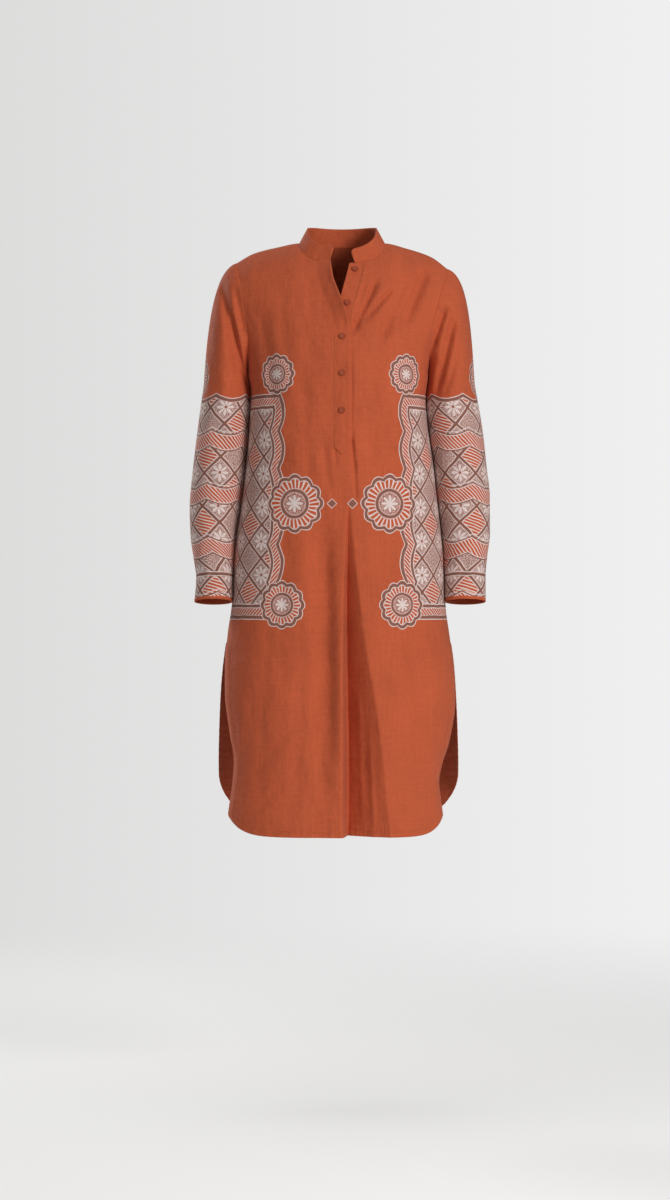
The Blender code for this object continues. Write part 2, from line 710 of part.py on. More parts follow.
def cuff_grid(side):
    """Return a cuff's points, in rows from its seam to its open end."""
    heights = np.linspace(CUFF_SEAM_Z - SEAM_GAP / 2, CUFF_END_Z, CUFF_ROWS + 1)
    points = np.stack([sleeve_ring(side, height) for height in heights])
    return points if side == RIGHT else points[:, ::-1]


def cloth_material(name, colour):
    """Return a matte material in one colour."""
    material = bpy.data.materials.new(name)
    material.use_nodes = True
    shader = material.node_tree.nodes["Principled BSDF"]
    shader.inputs["Base Color"].default_value = colour
    shader.inputs["Roughness"].default_value = 0.85
    shader.inputs["Metallic"].default_value = 0.0
    material.diffuse_color = colour
    return material


def add_object(collection, name, mesh, colour):
    """Add a mesh to the garment's collection as a piece with a material of its own."""
    piece = bpy.data.objects.new(name, mesh)
    mesh.materials.append(cloth_material(f"{name}_finish", colour))
    mesh.shade_smooth()
    collection.objects.link(piece)
    return piece


def add_cloth(collection, name, grid, closed=False, wall=WALL, keep=None):
    """Add a piece of cloth: an open surface with a wall behind its outer face.

    The grid's columns run left to right and its rows run down, as seen from outside.
    """
    rows, columns = grid.shape[:2]
    steps = columns if closed else columns - 1
    shell = bmesh.new()
    vertices = [shell.verts.new(point) for point in grid.reshape(-1, 3)]
    for row in range(rows - 1):
        for column in range(steps):
            if keep is not None and not keep[row, column]:
                continue
            beside = (column + 1) % columns
            above, below = row * columns, (row + 1) * columns
            corners = (above + column, below + column, below + beside, above + beside)
            shell.faces.new([vertices[i] for i in corners])
    unused = [vertex for vertex in shell.verts if not vertex.link_faces]
    bmesh.ops.delete(shell, geom=unused, context="VERTS")
    mesh = bpy.data.meshes.new(name)
    shell.to_mesh(mesh)
    shell.free()
    piece = add_object(collection, name, mesh, LINEN_COLOUR)
    thicken = piece.modifiers.new("Wall", "SOLIDIFY")
    thicken.thickness = wall
    thicken.offset = -1.0
    return piece


def button_profile():
    """Return half of a button's section, from the top's centre to the underside's."""
    dish_z = BUTTON_THICKNESS - BUTTON_DISH
    dish_radius = BUTTON_RADIUS - BUTTON_RIM_WIDTH
    return (
        (0.0, dish_z),
        (dish_radius - BUTTON_EDGE, dish_z),
        (dish_radius, BUTTON_THICKNESS - BUTTON_EDGE / 2),
        (dish_radius + BUTTON_EDGE / 2, BUTTON_THICKNESS),
        (BUTTON_RADIUS - BUTTON_EDGE, BUTTON_THICKNESS),
        (BUTTON_RADIUS, BUTTON_THICKNESS - BUTTON_EDGE),
        (BUTTON_RADIUS, BUTTON_EDGE),
        (BUTTON_RADIUS - BUTTON_EDGE, 0.0),
        (0.0, 0.0),
    )


def add_button(collection, number, button):
    """Add one turned button on its placket, facing straight out from the cloth."""
    profile = [(radius, 0.0, z) for radius, z in button_profile()]
    mesh = bpy.data.meshes.new(f"button_{number}")
    mesh.from_pydata(profile, [(i, i + 1) for i in range(len(profile) - 1)], [])
    piece = add_object(collection, f"button_{number}", mesh, BUTTON_COLOUR)
    turn = piece.modifiers.new("Turn", "SCREW")
    turn.axis = "Z"
    turn.steps = BUTTON_STEPS
    turn.render_steps = BUTTON_STEPS
    turn.use_merge_vertices = True
    turn.merge_threshold = 0.00001

    lift = BUTTON_SEAT_GAP + (LAID_ON_GAP + WALL if button.on_over_placket else 0.0)
    x, z = np.array(button.x), np.array(button.z)
    seat = Vector(body_points(True, x, z, lift))
    out = seat - Vector(body_points(True, x, z))
    piece.location = seat
    piece.rotation_euler = out.to_track_quat("Z", "Y").to_euler()
    return piece


def clear_scene():
    """Remove every object that the file opened with."""
    for item in list(bpy.data.objects):
        bpy.data.objects.remove(item, do_unlink=True)


def main():
    """Build every piece of the garment."""
    clear_scene()
    garment = bpy.data.collections.new("kurta_tunic")
    bpy.context.scene.collection.children.link(garment)
    front_grid, front_keep = front_panel_grid()
    add_cloth(garment, "front_panel", front_grid, keep=front_keep)
    add_cloth(garment, "back_panel", back_panel_grid())
    add_cloth(garment, "collar_band", collar_grid(), wall=COLLAR_WALL)
    add_cloth(garment, "placket_over", over_placket_grid())
    add_cloth(garment, "placket_under", under_placket_grid())
    for side, name in ((RIGHT, "right"), (LEFT, "left")):
        add_cloth(garment, f"sleeve_{name}", sleeve_grid(side), closed=True)
        add_cloth(garment, f"cuff_{name}", cuff_grid(side), closed=True)
    for number, button in enumerate(BUTTONS, 1):
        add_button(garment, number, button)


main()
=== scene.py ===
"""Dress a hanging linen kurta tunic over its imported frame.

Metres, +Z up. The front faces -Y and the wearer's right is at -X. The origin lies on the
shoulder line, at the height of the points where the shoulders meet the neck.
"""

import logging
import math
from dataclasses import dataclass
from enum import Enum

import bpy
import numpy as np
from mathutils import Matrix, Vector


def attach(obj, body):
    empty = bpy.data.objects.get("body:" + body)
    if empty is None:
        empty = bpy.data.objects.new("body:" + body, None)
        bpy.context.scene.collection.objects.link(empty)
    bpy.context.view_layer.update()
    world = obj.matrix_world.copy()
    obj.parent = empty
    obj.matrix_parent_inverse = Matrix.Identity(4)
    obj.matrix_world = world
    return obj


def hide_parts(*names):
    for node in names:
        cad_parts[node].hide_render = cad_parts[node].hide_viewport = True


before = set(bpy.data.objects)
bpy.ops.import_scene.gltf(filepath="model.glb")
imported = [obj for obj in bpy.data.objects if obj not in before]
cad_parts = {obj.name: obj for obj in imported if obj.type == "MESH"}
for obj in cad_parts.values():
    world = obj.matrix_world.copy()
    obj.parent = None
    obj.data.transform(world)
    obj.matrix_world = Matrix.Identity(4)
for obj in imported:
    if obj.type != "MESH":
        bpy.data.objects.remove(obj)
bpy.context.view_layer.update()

LOG = logging.getLogger("kurta_tunic")
ROOT_BODY = "root"
MM = 0.001


class Side(Enum):
    """A side of the wearer, with the sign of its X."""

    RIGHT = -1
    LEFT = 1

    @property
    def word(self) -> str:
        """Return the side's name as the nodes have it."""
        return self.name.lower()


class Face(Enum):
    """The front or the back of the body, with the sign of the Y that it faces."""

    FRONT = -1
    BACK = 1

    @property
    def word(self) -> str:
        """Return the face's name as the tables have it."""
        return self.name.lower()


class Print(Enum):
    """Where a printed linen lies on the garment, if it is printed."""

    PLAIN = "plain"
    BODY = "body"
    SLEEVE = "sleeve"


# Curves and folds


def hermite(
    start: np.ndarray,
    end: np.ndarray,
    leave: np.ndarray,
    arrive: np.ndarray,
    t: np.ndarray,
) -> np.ndarray:
    """Return the cubic from start to end that leaves and arrives along two tangents.

    Args:
        start: The first values.
        end: The last values.
        leave: The tangents at the start.
        arrive: The tangents at the end.
        t: Shares of the way, from 0 to 1.

    Returns:
        The values at t.
    """
    return (
        (2 * t**3 - 3 * t**2 + 1) * start
        + (t**3 - 2 * t**2 + t) * leave
        + (3 * t**2 - 2 * t**3) * end
        + (t**3 - t**2) * arrive
    )


def smooth_curve(keys: np.ndarray, values: np.ndarray, at: np.ndarray) -> np.ndarray:
    """Read a smooth curve through rising or falling keys, which adds no swing of its own.

    Args:
        keys: Where the values stand.
        values: The curve's values.
        at: Where the curve is read.

    Returns:
        The curve's values at the places asked for.
    """
    order = np.argsort(keys)
    keys, values = keys[order], values[order]
    span = np.diff(keys)
    rise = np.diff(values) / span
    product, total = rise[:-1] * rise[1:], rise[:-1] + rise[1:]
    level = product <= 0
    inner = np.where(level, 0.0, 2 * product / np.where(level, 1.0, total))
    slope = np.concatenate([rise[:1], inner, rise[-1:]])
    at = np.clip(at, keys[0], keys[-1])
    i = np.clip(np.searchsorted(keys, at, side="right") - 1, 0, len(span) - 1)
    t = (at - keys[i]) / span[i]
    return hermite(values[i], values[i + 1], slope[i] * span[i], slope[i + 1] * span[i], t)


def mix(start: np.ndarray, end: np.ndarray, t: np.ndarray) -> np.ndarray:
    """Return the values a share t of the way from start to end."""
    return start + (end - start) * t


def soft_step(t: np.ndarray) -> np.ndarray:
    """Return 0 to 1 for t from 0 to 1, level at both ends."""
    t = np.clip(t, 0.0, 1.0)
    return t * t * (3 - 2 * t)


class Table:
    """Sizes in rows with named columns, read by the first column."""

    def __init__(self, names: str, *rows: tuple[float, ...]) -> None:
        """Keep the rows as one array for each named column.

        Args:
            names: The columns' names, in order.
            rows: The sizes, a row for each section.
        """
        self.first = names.split()[0]
        self.columns = dict(zip(names.split(), np.array(rows, float).T))

    def __getitem__(self, name: str) -> np.ndarray:
        """Return a column."""
        return self.columns[name]

    def read(self, name: str, at: np.ndarray) -> np.ndarray:
        """Return a column's smooth curve at values of the first column."""
        return smooth_curve(self.columns[self.first], self.columns[name], at)


@dataclass(frozen=True)
class Fold:
    """A soft trough from one place to another on a panel; a ridge has a depth below 0."""

    start_x: float
    start_z: float
    end_x: float
    end_z: float
    width: float
    depth: float

    def press(self, x: np.ndarray, z: np.ndarray) -> np.ndarray:
        """Return how far the fold presses the cloth in at x, z."""
        run_x, run_z = self.end_x - self.start_x, self.end_z - self.start_z
        length = math.hypot(run_x, run_z)
        along = ((x - self.start_x) * run_x + (z - self.start_z) * run_z) / length**2
        across = ((x - self.start_x) * run_z - (z - self.start_z) * run_x) / length
        taper = soft_step(2 - 2 * abs(2 * along - 1))
        return self.depth * np.exp(-((across / self.width) ** 2)) * taper


def press_all(folds: tuple[Fold, ...], x: np.ndarray, z: np.ndarray) -> np.ndarray:
    """Return how far a list of folds presses the cloth in at x, z."""
    return sum((fold.press(x, z) for fold in folds), np.zeros_like(x))


# The form that the frame's solids have

RIDGE = Table(
    "x height",
    (-0.175, -0.034),
    (-0.144, -0.017),
    (-0.105, -0.007),
    (-0.066, 0.000),
    (0.076, 0.000),
    (0.115, -0.009),
    (0.156, -0.023),
    (0.185, -0.044),
)

# Each side's edges from the shoulder's tip, down the armhole to the underarm, then the
# side seam and the slit
SIDE_COLUMNS = "height front_x front_y back_x back_y"
SIDES = {
    Side.RIGHT: Table(
        SIDE_COLUMNS,
        (-0.034, -0.175, 0.006, -0.175, 0.006),
        (-0.050, -0.172, -0.018, -0.172, 0.029),
        (-0.069, -0.167, -0.035, -0.167, 0.045),
        (-0.112, -0.160, -0.052, -0.160, 0.060),
        (-0.156, -0.154, -0.050, -0.154, 0.057),
        (-0.190, -0.153, -0.035, -0.153, 0.040),
        (-0.212, -0.154, -0.015, -0.154, 0.018),
        (-0.221, -0.155, 0.000, -0.155, 0.000),
        (-0.252, -0.150, 0.000, -0.150, 0.000),
        (-0.318, -0.153, 0.000, -0.153, 0.000),
        (-0.387, -0.159, 0.000, -0.159, 0.000),
        (-0.450, -0.167, 0.000, -0.167, 0.000),
        (-0.500, -0.175, 0.000, -0.175, 0.000),
        (-0.541, -0.179, 0.000, -0.179, 0.000),
        (-0.610, -0.182, 0.000, -0.182, 0.000),
        (-0.670, -0.190, 0.000, -0.190, 0.000),
        (-0.720, -0.193, -0.008, -0.197, 0.008),
        (-0.765, -0.1925, -0.015, -0.201, 0.016),
        (-0.833, -0.184, -0.024, -0.204, 0.024),
        (-0.878, -0.177, -0.030, -0.205, 0.028),
        (-0.901, -0.178, -0.032, -0.205, 0.030),
        (-0.969, -0.187, -0.030, -0.205, 0.034),
    ),
    Side.LEFT: Table(
        SIDE_COLUMNS,
        (-0.044, 0.185, 0.006, 0.185, 0.006),
        (-0.060, 0.181, -0.018, 0.181, 0.029),
        (-0.082, 0.174, -0.036, 0.174, 0.046),
        (-0.119, 0.163, -0.052, 0.163, 0.060),
        (-0.156, 0.157, -0.050, 0.157, 0.057),
        (-0.189, 0.153, -0.035, 0.153, 0.040),
        (-0.211, 0.152, -0.015, 0.152, 0.018),
        (-0.220, 0.152, 0.000, 0.152, 0.000),
        (-0.267, 0.147, 0.000, 0.147, 0.000),
        (-0.324, 0.152, 0.000, 0.152, 0.000),
        (-0.377, 0.160, 0.000, 0.160, 0.000),
        (-0.430, 0.166, 0.000, 0.166, 0.000),
        (-0.494, 0.174, 0.000, 0.174, 0.000),
        (-0.534, 0.178, 0.000, 0.178, 0.000),
        (-0.617, 0.181, 0.000, 0.181, 0.000),
        (-0.670, 0.188, 0.000, 0.188, 0.000),
        (-0.720, 0.194, -0.008, 0.195, 0.008),
        (-0.776, 0.196, -0.015, 0.199, 0.016),
        (-0.844, 0.186, -0.024, 0.202, 0.024),
        (-0.885, 0.173, -0.030, 0.203, 0.028),
        (-0.912, 0.168, -0.032, 0.203, 0.030),
        (-0.957, 0.173, -0.031, 0.203, 0.034),
        (-0.980, 0.176, -0.030, 0.203, 0.034),
    ),
}
UNDERARM_ROW = 7

SECTION = Table(
    "height power roundness",
    (-1.000, 2.6, 0.55),
    (-0.670, 2.5, 0.45),
    (-0.240, 2.5, 0.45),
    (-0.160, 3.0, 0.90),
    (-0.120, 3.0, 1.00),
)

DEPTH = Table(
    "drop front back",
    (0.000, 0.000, 0.000),
    (0.001, 0.009, 0.008),
    (0.010, 0.027, 0.023),
    (0.025, 0.048, 0.041),
    (0.045, 0.066, 0.058),
    (0.080, 0.086, 0.078),
    (0.130, 0.105, 0.095),
    (0.180, 0.118, 0.102),
    (0.230, 0.126, 0.103),
    (0.300, 0.130, 0.100),
    (0.400, 0.132, 0.098),
    (0.550, 0.135, 0.108),
    (0.700, 0.138, 0.120),
    (1.000, 0.141, 0.128),
)

# The slot's edges down to its end, and below it the lines that the pleat follows
SLOT = Table(
    "height right_x left_x",
    (-0.033, -0.039, 0.043),
    (-0.070, -0.034, 0.035),
    (-0.100, -0.023, 0.027),
    (-0.125, -0.012, 0.0205),
    (-0.150, -0.008, 0.0170),
    (-0.176, -0.007, 0.0155),
    (-0.330, -0.007, 0.0155),
    (-0.441, -0.002, 0.0155),
    (-0.520, 0.002, 0.0160),
    (-0.607, 0.004, 0.0180),
    (-0.690, 0.0045, 0.0230),
    (-0.772, 0.004, 0.0290),
    (-1.001, 0.004, 0.0310),
)

# The plackets' free edges
PLACKET = Table(
    "height over_x under_x",
    (-0.037, -0.0150, 0.0180),
    (-0.070, -0.0110, 0.0100),
    (-0.100, -0.0010, 0.0020),
    (-0.125, 0.0080, -0.0030),
    (-0.150, 0.0140, -0.0055),
    (-0.176, 0.0170, -0.0062),
    (-0.366, 0.0170, -0.0062),
)

# How the right front rolls out: its free edge, how wide the roll is and how high
ROLL = Table(
    "height free_x reach rise",
    (0.000, -0.0150, 0.036, 0.0030),
    (-0.037, -0.0150, 0.036, 0.0075),
    (-0.070, -0.0110, 0.036, 0.0130),
    (-0.100, -0.0010, 0.036, 0.0145),
    (-0.125, 0.0080, 0.034, 0.0125),
    (-0.145, 0.0135, 0.028, 0.0070),
    (-0.158, 0.0155, 0.022, 0.0020),
    (-0.168, 0.0165, 0.020, 0.0000),
    (-1.001, 0.0170, 0.020, 0.0000),
)
ROLL_POWER = 2.5

# The pleat's crisp fold, the bottom of its valley, where the valley's slope ends, how deep
# it lies and how far the cloth swells out to the fold
PLEAT = Table(
    "height fold_x valley_x slope_x depth crest",
    (-0.441, 0.0130, 0.0155, 0.0180, 0.000, 0.0000),
    (-0.516, 0.0095, 0.0140, 0.0245, 0.009, 0.0034),
    (-0.607, 0.0060, 0.0125, 0.0345, 0.023, 0.0076),
    (-0.690, 0.0045, 0.0130, 0.0455, 0.034, 0.0102),
    (-0.772, 0.0040, 0.0140, 0.0595, 0.045, 0.0102),
    (-0.850, 0.0040, 0.0150, 0.0700, 0.050, 0.0080),
    (-0.930, 0.0040, 0.0150, 0.0780, 0.053, 0.0048),
    (-1.001, 0.0040, 0.0150, 0.0850, 0.054, 0.0026),
)

# Each sleeve's rings from the biceps to the cuff's end
RING_COLUMNS = "height outer_x centre_y half_depth tilt"
SLEEVES = {
    Side.RIGHT: Table(
        RING_COLUMNS,
        (-0.240, -0.2305, 0.008, 0.061, 0.00),
        (-0.318, -0.2410, 0.006, 0.061, 0.02),
        (-0.387, -0.2490, 0.003, 0.058, 0.05),
        (-0.450, -0.2540, -0.003, 0.055, 0.08),
        (-0.500, -0.2520, -0.010, 0.051, 0.10),
        (-0.541, -0.2460, -0.017, 0.045, 0.12),
        (-0.570, -0.2420, -0.021, 0.038, 0.13),
        (-0.610, -0.2450, -0.027, 0.036, 0.14),
    ),
    Side.LEFT: Table(
        RING_COLUMNS,
        (-0.240, 0.2310, 0.008, 0.061, 0.00),
        (-0.324, 0.2450, 0.006, 0.061, 0.02),
        (-0.381, 0.2510, 0.003, 0.058, 0.05),
        (-0.431, 0.2560, -0.003, 0.055, 0.08),
        (-0.494, 0.2560, -0.010, 0.051, 0.10),
        (-0.534, 0.2510, -0.017, 0.045, 0.12),
        (-0.570, 0.2480, -0.021, 0.038, 0.13),
        (-0.610, 0.2480, -0.027, 0.036, 0.14),
    ),
}

# The front's folds: the largest, which the solids have too, then the finer ones
FRONT_FOLDS = (
    Fold(-0.036, -0.420, -0.025, -0.960, 0.017, 0.0088),
    Fold(-0.020, -0.470, -0.0120, -0.900, 0.0110, 0.0062),
    Fold(0.150, -0.040, 0.100, -0.160, 0.012, 0.0140),
    Fold(0.067, -0.064, 0.017, -0.170, 0.0064, 0.0110),
    Fold(0.048, -0.070, 0.023, -0.138, 0.0036, 0.0052),
    Fold(0.100, -0.074, 0.034, -0.148, 0.006, 0.0076),
    Fold(0.120, -0.050, 0.062, -0.190, 0.011, 0.0090),
    Fold(-0.052, -0.050, -0.046, -0.150, 0.008, 0.0016),
    Fold(-0.130, -0.110, -0.106, -0.310, 0.011, 0.0042),
    Fold(-0.100, -0.060, -0.086, -0.240, 0.013, 0.0026),
    Fold(0.130, -0.170, 0.116, -0.340, 0.009, 0.0036),
    Fold(-0.060, -0.200, -0.050, -0.430, 0.010, 0.0022),
    Fold(0.062, -0.190, 0.052, -0.420, 0.012, 0.0024),
    Fold(-0.085, -0.400, -0.102, -0.790, 0.012, 0.0020),
    Fold(0.094, -0.480, 0.126, -0.960, 0.013, 0.0040),
    Fold(-0.112, -0.600, -0.140, -0.990, 0.011, 0.0022),
    Fold(0.132, -0.620, 0.148, -0.900, 0.009, 0.0030),
    Fold(-0.056, -0.660, -0.078, -1.000, 0.010, 0.0018),
    Fold(0.050, -0.800, 0.060, -1.060, 0.0045, -0.0022),
    Fold(0.032, -0.740, 0.040, -1.000, 0.0045, -0.0018),
    Fold(-0.155, -0.730, -0.178, -0.970, 0.007, -0.0018),
    Fold(0.146, -0.760, 0.166, -0.960, 0.006, -0.0024),
    Fold(0.020, -0.330, 0.026, -0.400, 0.0032, 0.0042),
    Fold(0.025, -0.375, 0.028, -0.450, 0.0034, 0.0030),
    Fold(0.0205, -0.130, 0.0212, -0.420, 0.0022, 0.0016),
    Fold(-0.009, -0.350, -0.004, -0.386, 0.003, 0.0020),
    Fold(-0.026, -0.340, -0.016, -0.430, 0.006, 0.0024),
    Fold(-0.006, -0.916, 0.014, -0.928, 0.0022, 0.0024),
    Fold(-0.150, -0.905, -0.060, -0.800, 0.006, 0.0016),
    Fold(-0.140, -0.960, -0.080, -0.900, 0.005, 0.0014),
)
BACK_FOLDS = (
    Fold(-0.070, -0.560, -0.090, -0.940, 0.020, 0.008),
    Fold(0.060, -0.600, 0.085, -0.960, 0.022, 0.009),
    Fold(0.136, -0.100, 0.070, -0.230, 0.011, 0.0050),
    Fold(-0.130, -0.095, -0.074, -0.240, 0.012, 0.0046),
    Fold(0.118, -0.190, 0.086, -0.330, 0.010, 0.0030),
    Fold(-0.122, -0.200, -0.100, -0.350, 0.010, 0.0028),
    Fold(0.030, -0.420, 0.046, -0.820, 0.013, 0.0034),
    Fold(-0.150, -0.560, -0.168, -0.900, 0.010, 0.0034),
    Fold(0.150, -0.580, 0.166, -0.930, 0.010, 0.0032),
    Fold(0.004, -0.300, 0.008, -0.900, 0.020, 0.0030),
    Fold(0.120, -0.330, 0.112, -0.760, 0.014, 0.0022),
    Fold(-0.118, -0.300, -0.125, -0.700, 0.015, 0.0022),
    Fold(-0.030, -0.640, -0.022, -0.980, 0.014, 0.0026),
)
SLEEVE_FOLDS = {
    Side.RIGHT: (
        Fold(-0.204, -0.040, -0.166, -0.250, 0.008, 0.0110),
        Fold(-0.186, -0.110, -0.152, -0.268, 0.0040, 0.0090),
        Fold(-0.178, -0.070, -0.158, -0.170, 0.006, 0.0050),
        Fold(-0.225, -0.130, -0.205, -0.290, 0.010, 0.0030),
        Fold(-0.215, -0.300, -0.180, -0.370, 0.012, 0.005),
        Fold(-0.228, -0.390, -0.182, -0.440, 0.009, 0.0034),
        Fold(-0.235, -0.450, -0.196, -0.492, 0.008, 0.0032),
        Fold(-0.232, -0.520, -0.198, -0.545, 0.007, 0.0028),
        Fold(-0.214, -0.535, -0.209, -0.575, 0.006, 0.0020),
    ),
    Side.LEFT: (
        Fold(0.198, -0.110, 0.160, -0.280, 0.0075, 0.0110),
        Fold(0.182, -0.104, 0.154, -0.190, 0.006, 0.0080),
        Fold(0.206, -0.170, 0.176, -0.270, 0.006, 0.0040),
        Fold(0.226, -0.200, 0.214, -0.320, 0.010, 0.0026),
        Fold(0.218, -0.330, 0.182, -0.390, 0.012, 0.005),
        Fold(0.232, -0.400, 0.188, -0.446, 0.009, 0.0034),
        Fold(0.238, -0.458, 0.196, -0.500, 0.008, 0.0030),
        Fold(0.234, -0.526, 0.200, -0.548, 0.007, 0.0026),
        Fold(0.214, -0.535, 0.209, -0.575, 0.006, 0.0020),
    ),
}

# Like the sleeves' folds in front, placed where the photo can't show them
SLEEVE_BACK_FOLDS = {
    Side.RIGHT: (
        Fold(-0.200, -0.070, -0.166, -0.245, 0.010, 0.0058),
        Fold(-0.226, -0.170, -0.206, -0.330, 0.010, 0.0034),
        Fold(-0.240, -0.325, -0.184, -0.385, 0.010, 0.0050),
        Fold(-0.238, -0.415, -0.190, -0.455, 0.008, 0.0040),
        Fold(-0.238, -0.490, -0.200, -0.522, 0.007, 0.0030),
    ),
    Side.LEFT: (
        Fold(0.208, -0.090, 0.166, -0.262, 0.010, 0.0054),
        Fold(0.228, -0.150, 0.212, -0.315, 0.011, 0.0034),
        Fold(0.244, -0.345, 0.190, -0.404, 0.011, 0.0046),
        Fold(0.240, -0.430, 0.194, -0.474, 0.008, 0.0038),
        Fold(0.242, -0.505, 0.204, -0.534, 0.007, 0.0028),
    ),
}


@dataclass(frozen=True)
class BodyForm:
    """The body of the garment as it hangs: where its front and back lie in space."""

    centre_x: float = 0.005
    ridge_y: float = 0.006
    neck_half_width: float = 0.071
    neck_drop: float = 0.040
    neck_squareness: float = 2.2
    nape_rise: float = 0.040
    nape_roundness: float = 0.85
    nape_softness: float = 0.90
    nape_fade: float = 0.090
    shoulder_reach: float = 0.150
    fold_fade: float = 0.5
    slope_step: float = 0.001
    pleat_steep: float = 0.22
    crest_reach: float = 0.022
    ripple_start: float = -0.050
    ripple_reach: float = 0.100

    def edge(self, side: Side, column: str, height: np.ndarray) -> np.ndarray:
        """Read a column of a side's edges, which leave the shoulder's tip level.

        Args:
            side: The side of the wearer.
            column: The column's name.
            height: Where it is read.

        Returns:
            The edge's x or y at the heights.
        """
        rows = SIDES[side]
        tip = rows["height"][0]
        keys = np.sqrt(tip - rows["height"])
        return smooth_curve(keys, rows[column], np.sqrt(np.maximum(tip - height, 0)))

    def nearest_edge(self, face: Face, x: np.ndarray, z: np.ndarray) -> tuple[np.ndarray, np.ndarray]:
        """Return the x and y of the panel's side edge on the same side as x.

        Args:
            face: The front or the back.
            x: The points' x.
            z: The points' z.

        Returns:
            The edge's x and y at each point.
        """
        shoulder = RIDGE.read("height", x)
        high_up = soft_step(1 - (shoulder - z) / self.shoulder_reach)
        edges = []
        for side in Side:
            level = z - (shoulder - SIDES[side]["height"][0]) * high_up
            edges.append((self.edge(side, f"{face.word}_x", z), self.edge(side, f"{face.word}_y", level)))
        (right_x, right_y), (left_x, left_y) = edges
        on_left = x > self.centre_x
        return np.where(on_left, left_x, right_x), np.where(on_left, left_y, right_y)

    def ridge_height(self, face: Face, x: np.ndarray, z: np.ndarray) -> np.ndarray:
        """Return the height that a panel falls from: the shoulders, or the nape's rise.

        Args:
            face: The front or the back.
            x: The points' x.
            z: The points' z.

        Returns:
            The height above each point.
        """
        height = RIDGE.read("height", x)
        if face is Face.FRONT:
            return height
        across = np.clip((x - self.centre_x) / self.neck_half_width, -1, 1)
        roundness = self.nape_roundness + self.nape_softness * soft_step(-z / self.nape_fade)
        return height + self.nape_rise * (1 - across**2) ** roundness

    def roll(self, x: np.ndarray, z: np.ndarray) -> np.ndarray:
        """Return how far the right front rolls out towards the over placket's free edge."""
        free_x, reach, rise = (ROLL.read(name, z) for name in ("free_x", "reach", "rise"))
        share = np.clip((x - free_x + reach) / reach, 0, 1.2)
        return rise * share**ROLL_POWER

    def pleat_rise(self, t: np.ndarray) -> np.ndarray:
        """Return how far the cloth has risen out of the pleat, steep first and crisp at the end."""
        return self.pleat_steep * (1 - (1 - t) ** 2) + (1 - self.pleat_steep) * t

    def pleat(self, x: np.ndarray, z: np.ndarray) -> np.ndarray:
        """Return how far the pleat below the placket presses the front in.

        Args:
            x: The points' x.
            z: The points' z.

        Returns:
            The depth at each point, below 0 where the cloth swells out.
        """
        fold_x, valley_x, slope_x = (PLEAT.read(name, z) for name in ("fold_x", "valley_x", "slope_x"))
        into = soft_step((x - fold_x) / (valley_x - fold_x))
        t = np.clip((x - valley_x) / (slope_x - valley_x), 0, 1)
        swell = np.where(x < fold_x, np.exp(-((np.minimum(x - fold_x, 0) / self.crest_reach) ** 2)), 1 - into)
        return PLEAT.read("depth", z) * into * (1 - self.pleat_rise(t)) - PLEAT.read("crest", z) * swell

    def smooth_y(self, face: Face, x: np.ndarray, z: np.ndarray) -> tuple[np.ndarray, np.ndarray]:
        """Return the y of the front or back without its folds, and how full it is at x, z.

        Args:
            face: The front or the back.
            x: The points' x.
            z: The points' z.

        Returns:
            The y, and 0 at the side edges to 1 where the panel is fullest.
        """
        edge_x, edge_y = self.nearest_edge(face, x, z)
        across = np.clip(abs((x - self.centre_x) / (edge_x - self.centre_x)), 0, 1)
        fullness = (1 - across ** SECTION.read("power", z)) ** SECTION.read("roundness", z)
        drop = np.maximum(self.ridge_height(face, x, z) - z, 0)
        depth = smooth_curve(np.sqrt(DEPTH["drop"]), DEPTH[face.word], np.sqrt(drop))
        return edge_y + (self.ridge_y + face.value * depth - edge_y) * fullness, fullness

    def y_at(self, face: Face, x: np.ndarray, z: np.ndarray) -> np.ndarray:
        """Return the y of the outer side of the front or back at x, z.

        Args:
            face: The front or the back.
            x: The points' x.
            z: The points' z.

        Returns:
            The y at each point.
        """
        y, fullness = self.smooth_y(face, x, z)
        folds = FRONT_FOLDS if face is Face.FRONT else BACK_FOLDS
        pressed = press_all(folds, x, z)
        if face is Face.FRONT:
            pressed = pressed + self.pleat(x, z)
        pressed = pressed + self.ripple(x, z)
        return y - face.value * pressed * soft_step(fullness / self.fold_fade)

    def ripple(self, x: np.ndarray, z: np.ndarray) -> np.ndarray:
        """Return the slight unevenness of washed cloth, which no two places share."""
        waves = (
            (0.00050, 71.0, 9.0, 0.4),
            (0.00042, 47.0, 23.0, 1.9),
            (0.00034, 118.0, -31.0, 0.7),
            (0.00026, 61.0, 88.0, 2.6),
            (0.00020, 163.0, 57.0, 1.1),
            (0.00016, 29.0, -149.0, 3.3),
        )
        low = soft_step((self.ripple_start - z) / self.ripple_reach)
        return low * sum(height * np.sin(across * x + up * z + phase) for height, across, up, phase in waves)

    def out(self, face: Face, x: np.ndarray, z: np.ndarray) -> np.ndarray:
        """Return the directions straight out of the cloth at x, z.

        Args:
            face: The front or the back.
            x: The points' x.
            z: The points' z.

        Returns:
            A direction of length 1 at each point.
        """
        step = self.slope_step
        rise_x = self.y_at(face, x + step, z) - self.y_at(face, x - step, z)
        rise_z = self.y_at(face, x, z + step) - self.y_at(face, x, z - step)
        out = np.stack([rise_x, np.full_like(rise_x, -2 * step), rise_z], axis=-1)
        return -face.value * out / np.linalg.norm(out, axis=-1, keepdims=True)

    def points(self, face: Face, x: np.ndarray, z: np.ndarray, lift: float | np.ndarray = 0.0) -> np.ndarray:
        """Return points on the body's outer side, moved out by lift.

        Args:
            face: The front or the back.
            x: The points' x.
            z: The points' z.
            lift: How far out of the cloth they stand.

        Returns:
            The points, with x, y and z in the last axis.
        """
        points = np.stack([x, self.y_at(face, x, z), z], axis=-1)
        if np.any(lift):
            points = points + np.asarray(lift)[..., None] * self.out(face, x, z)
        return points

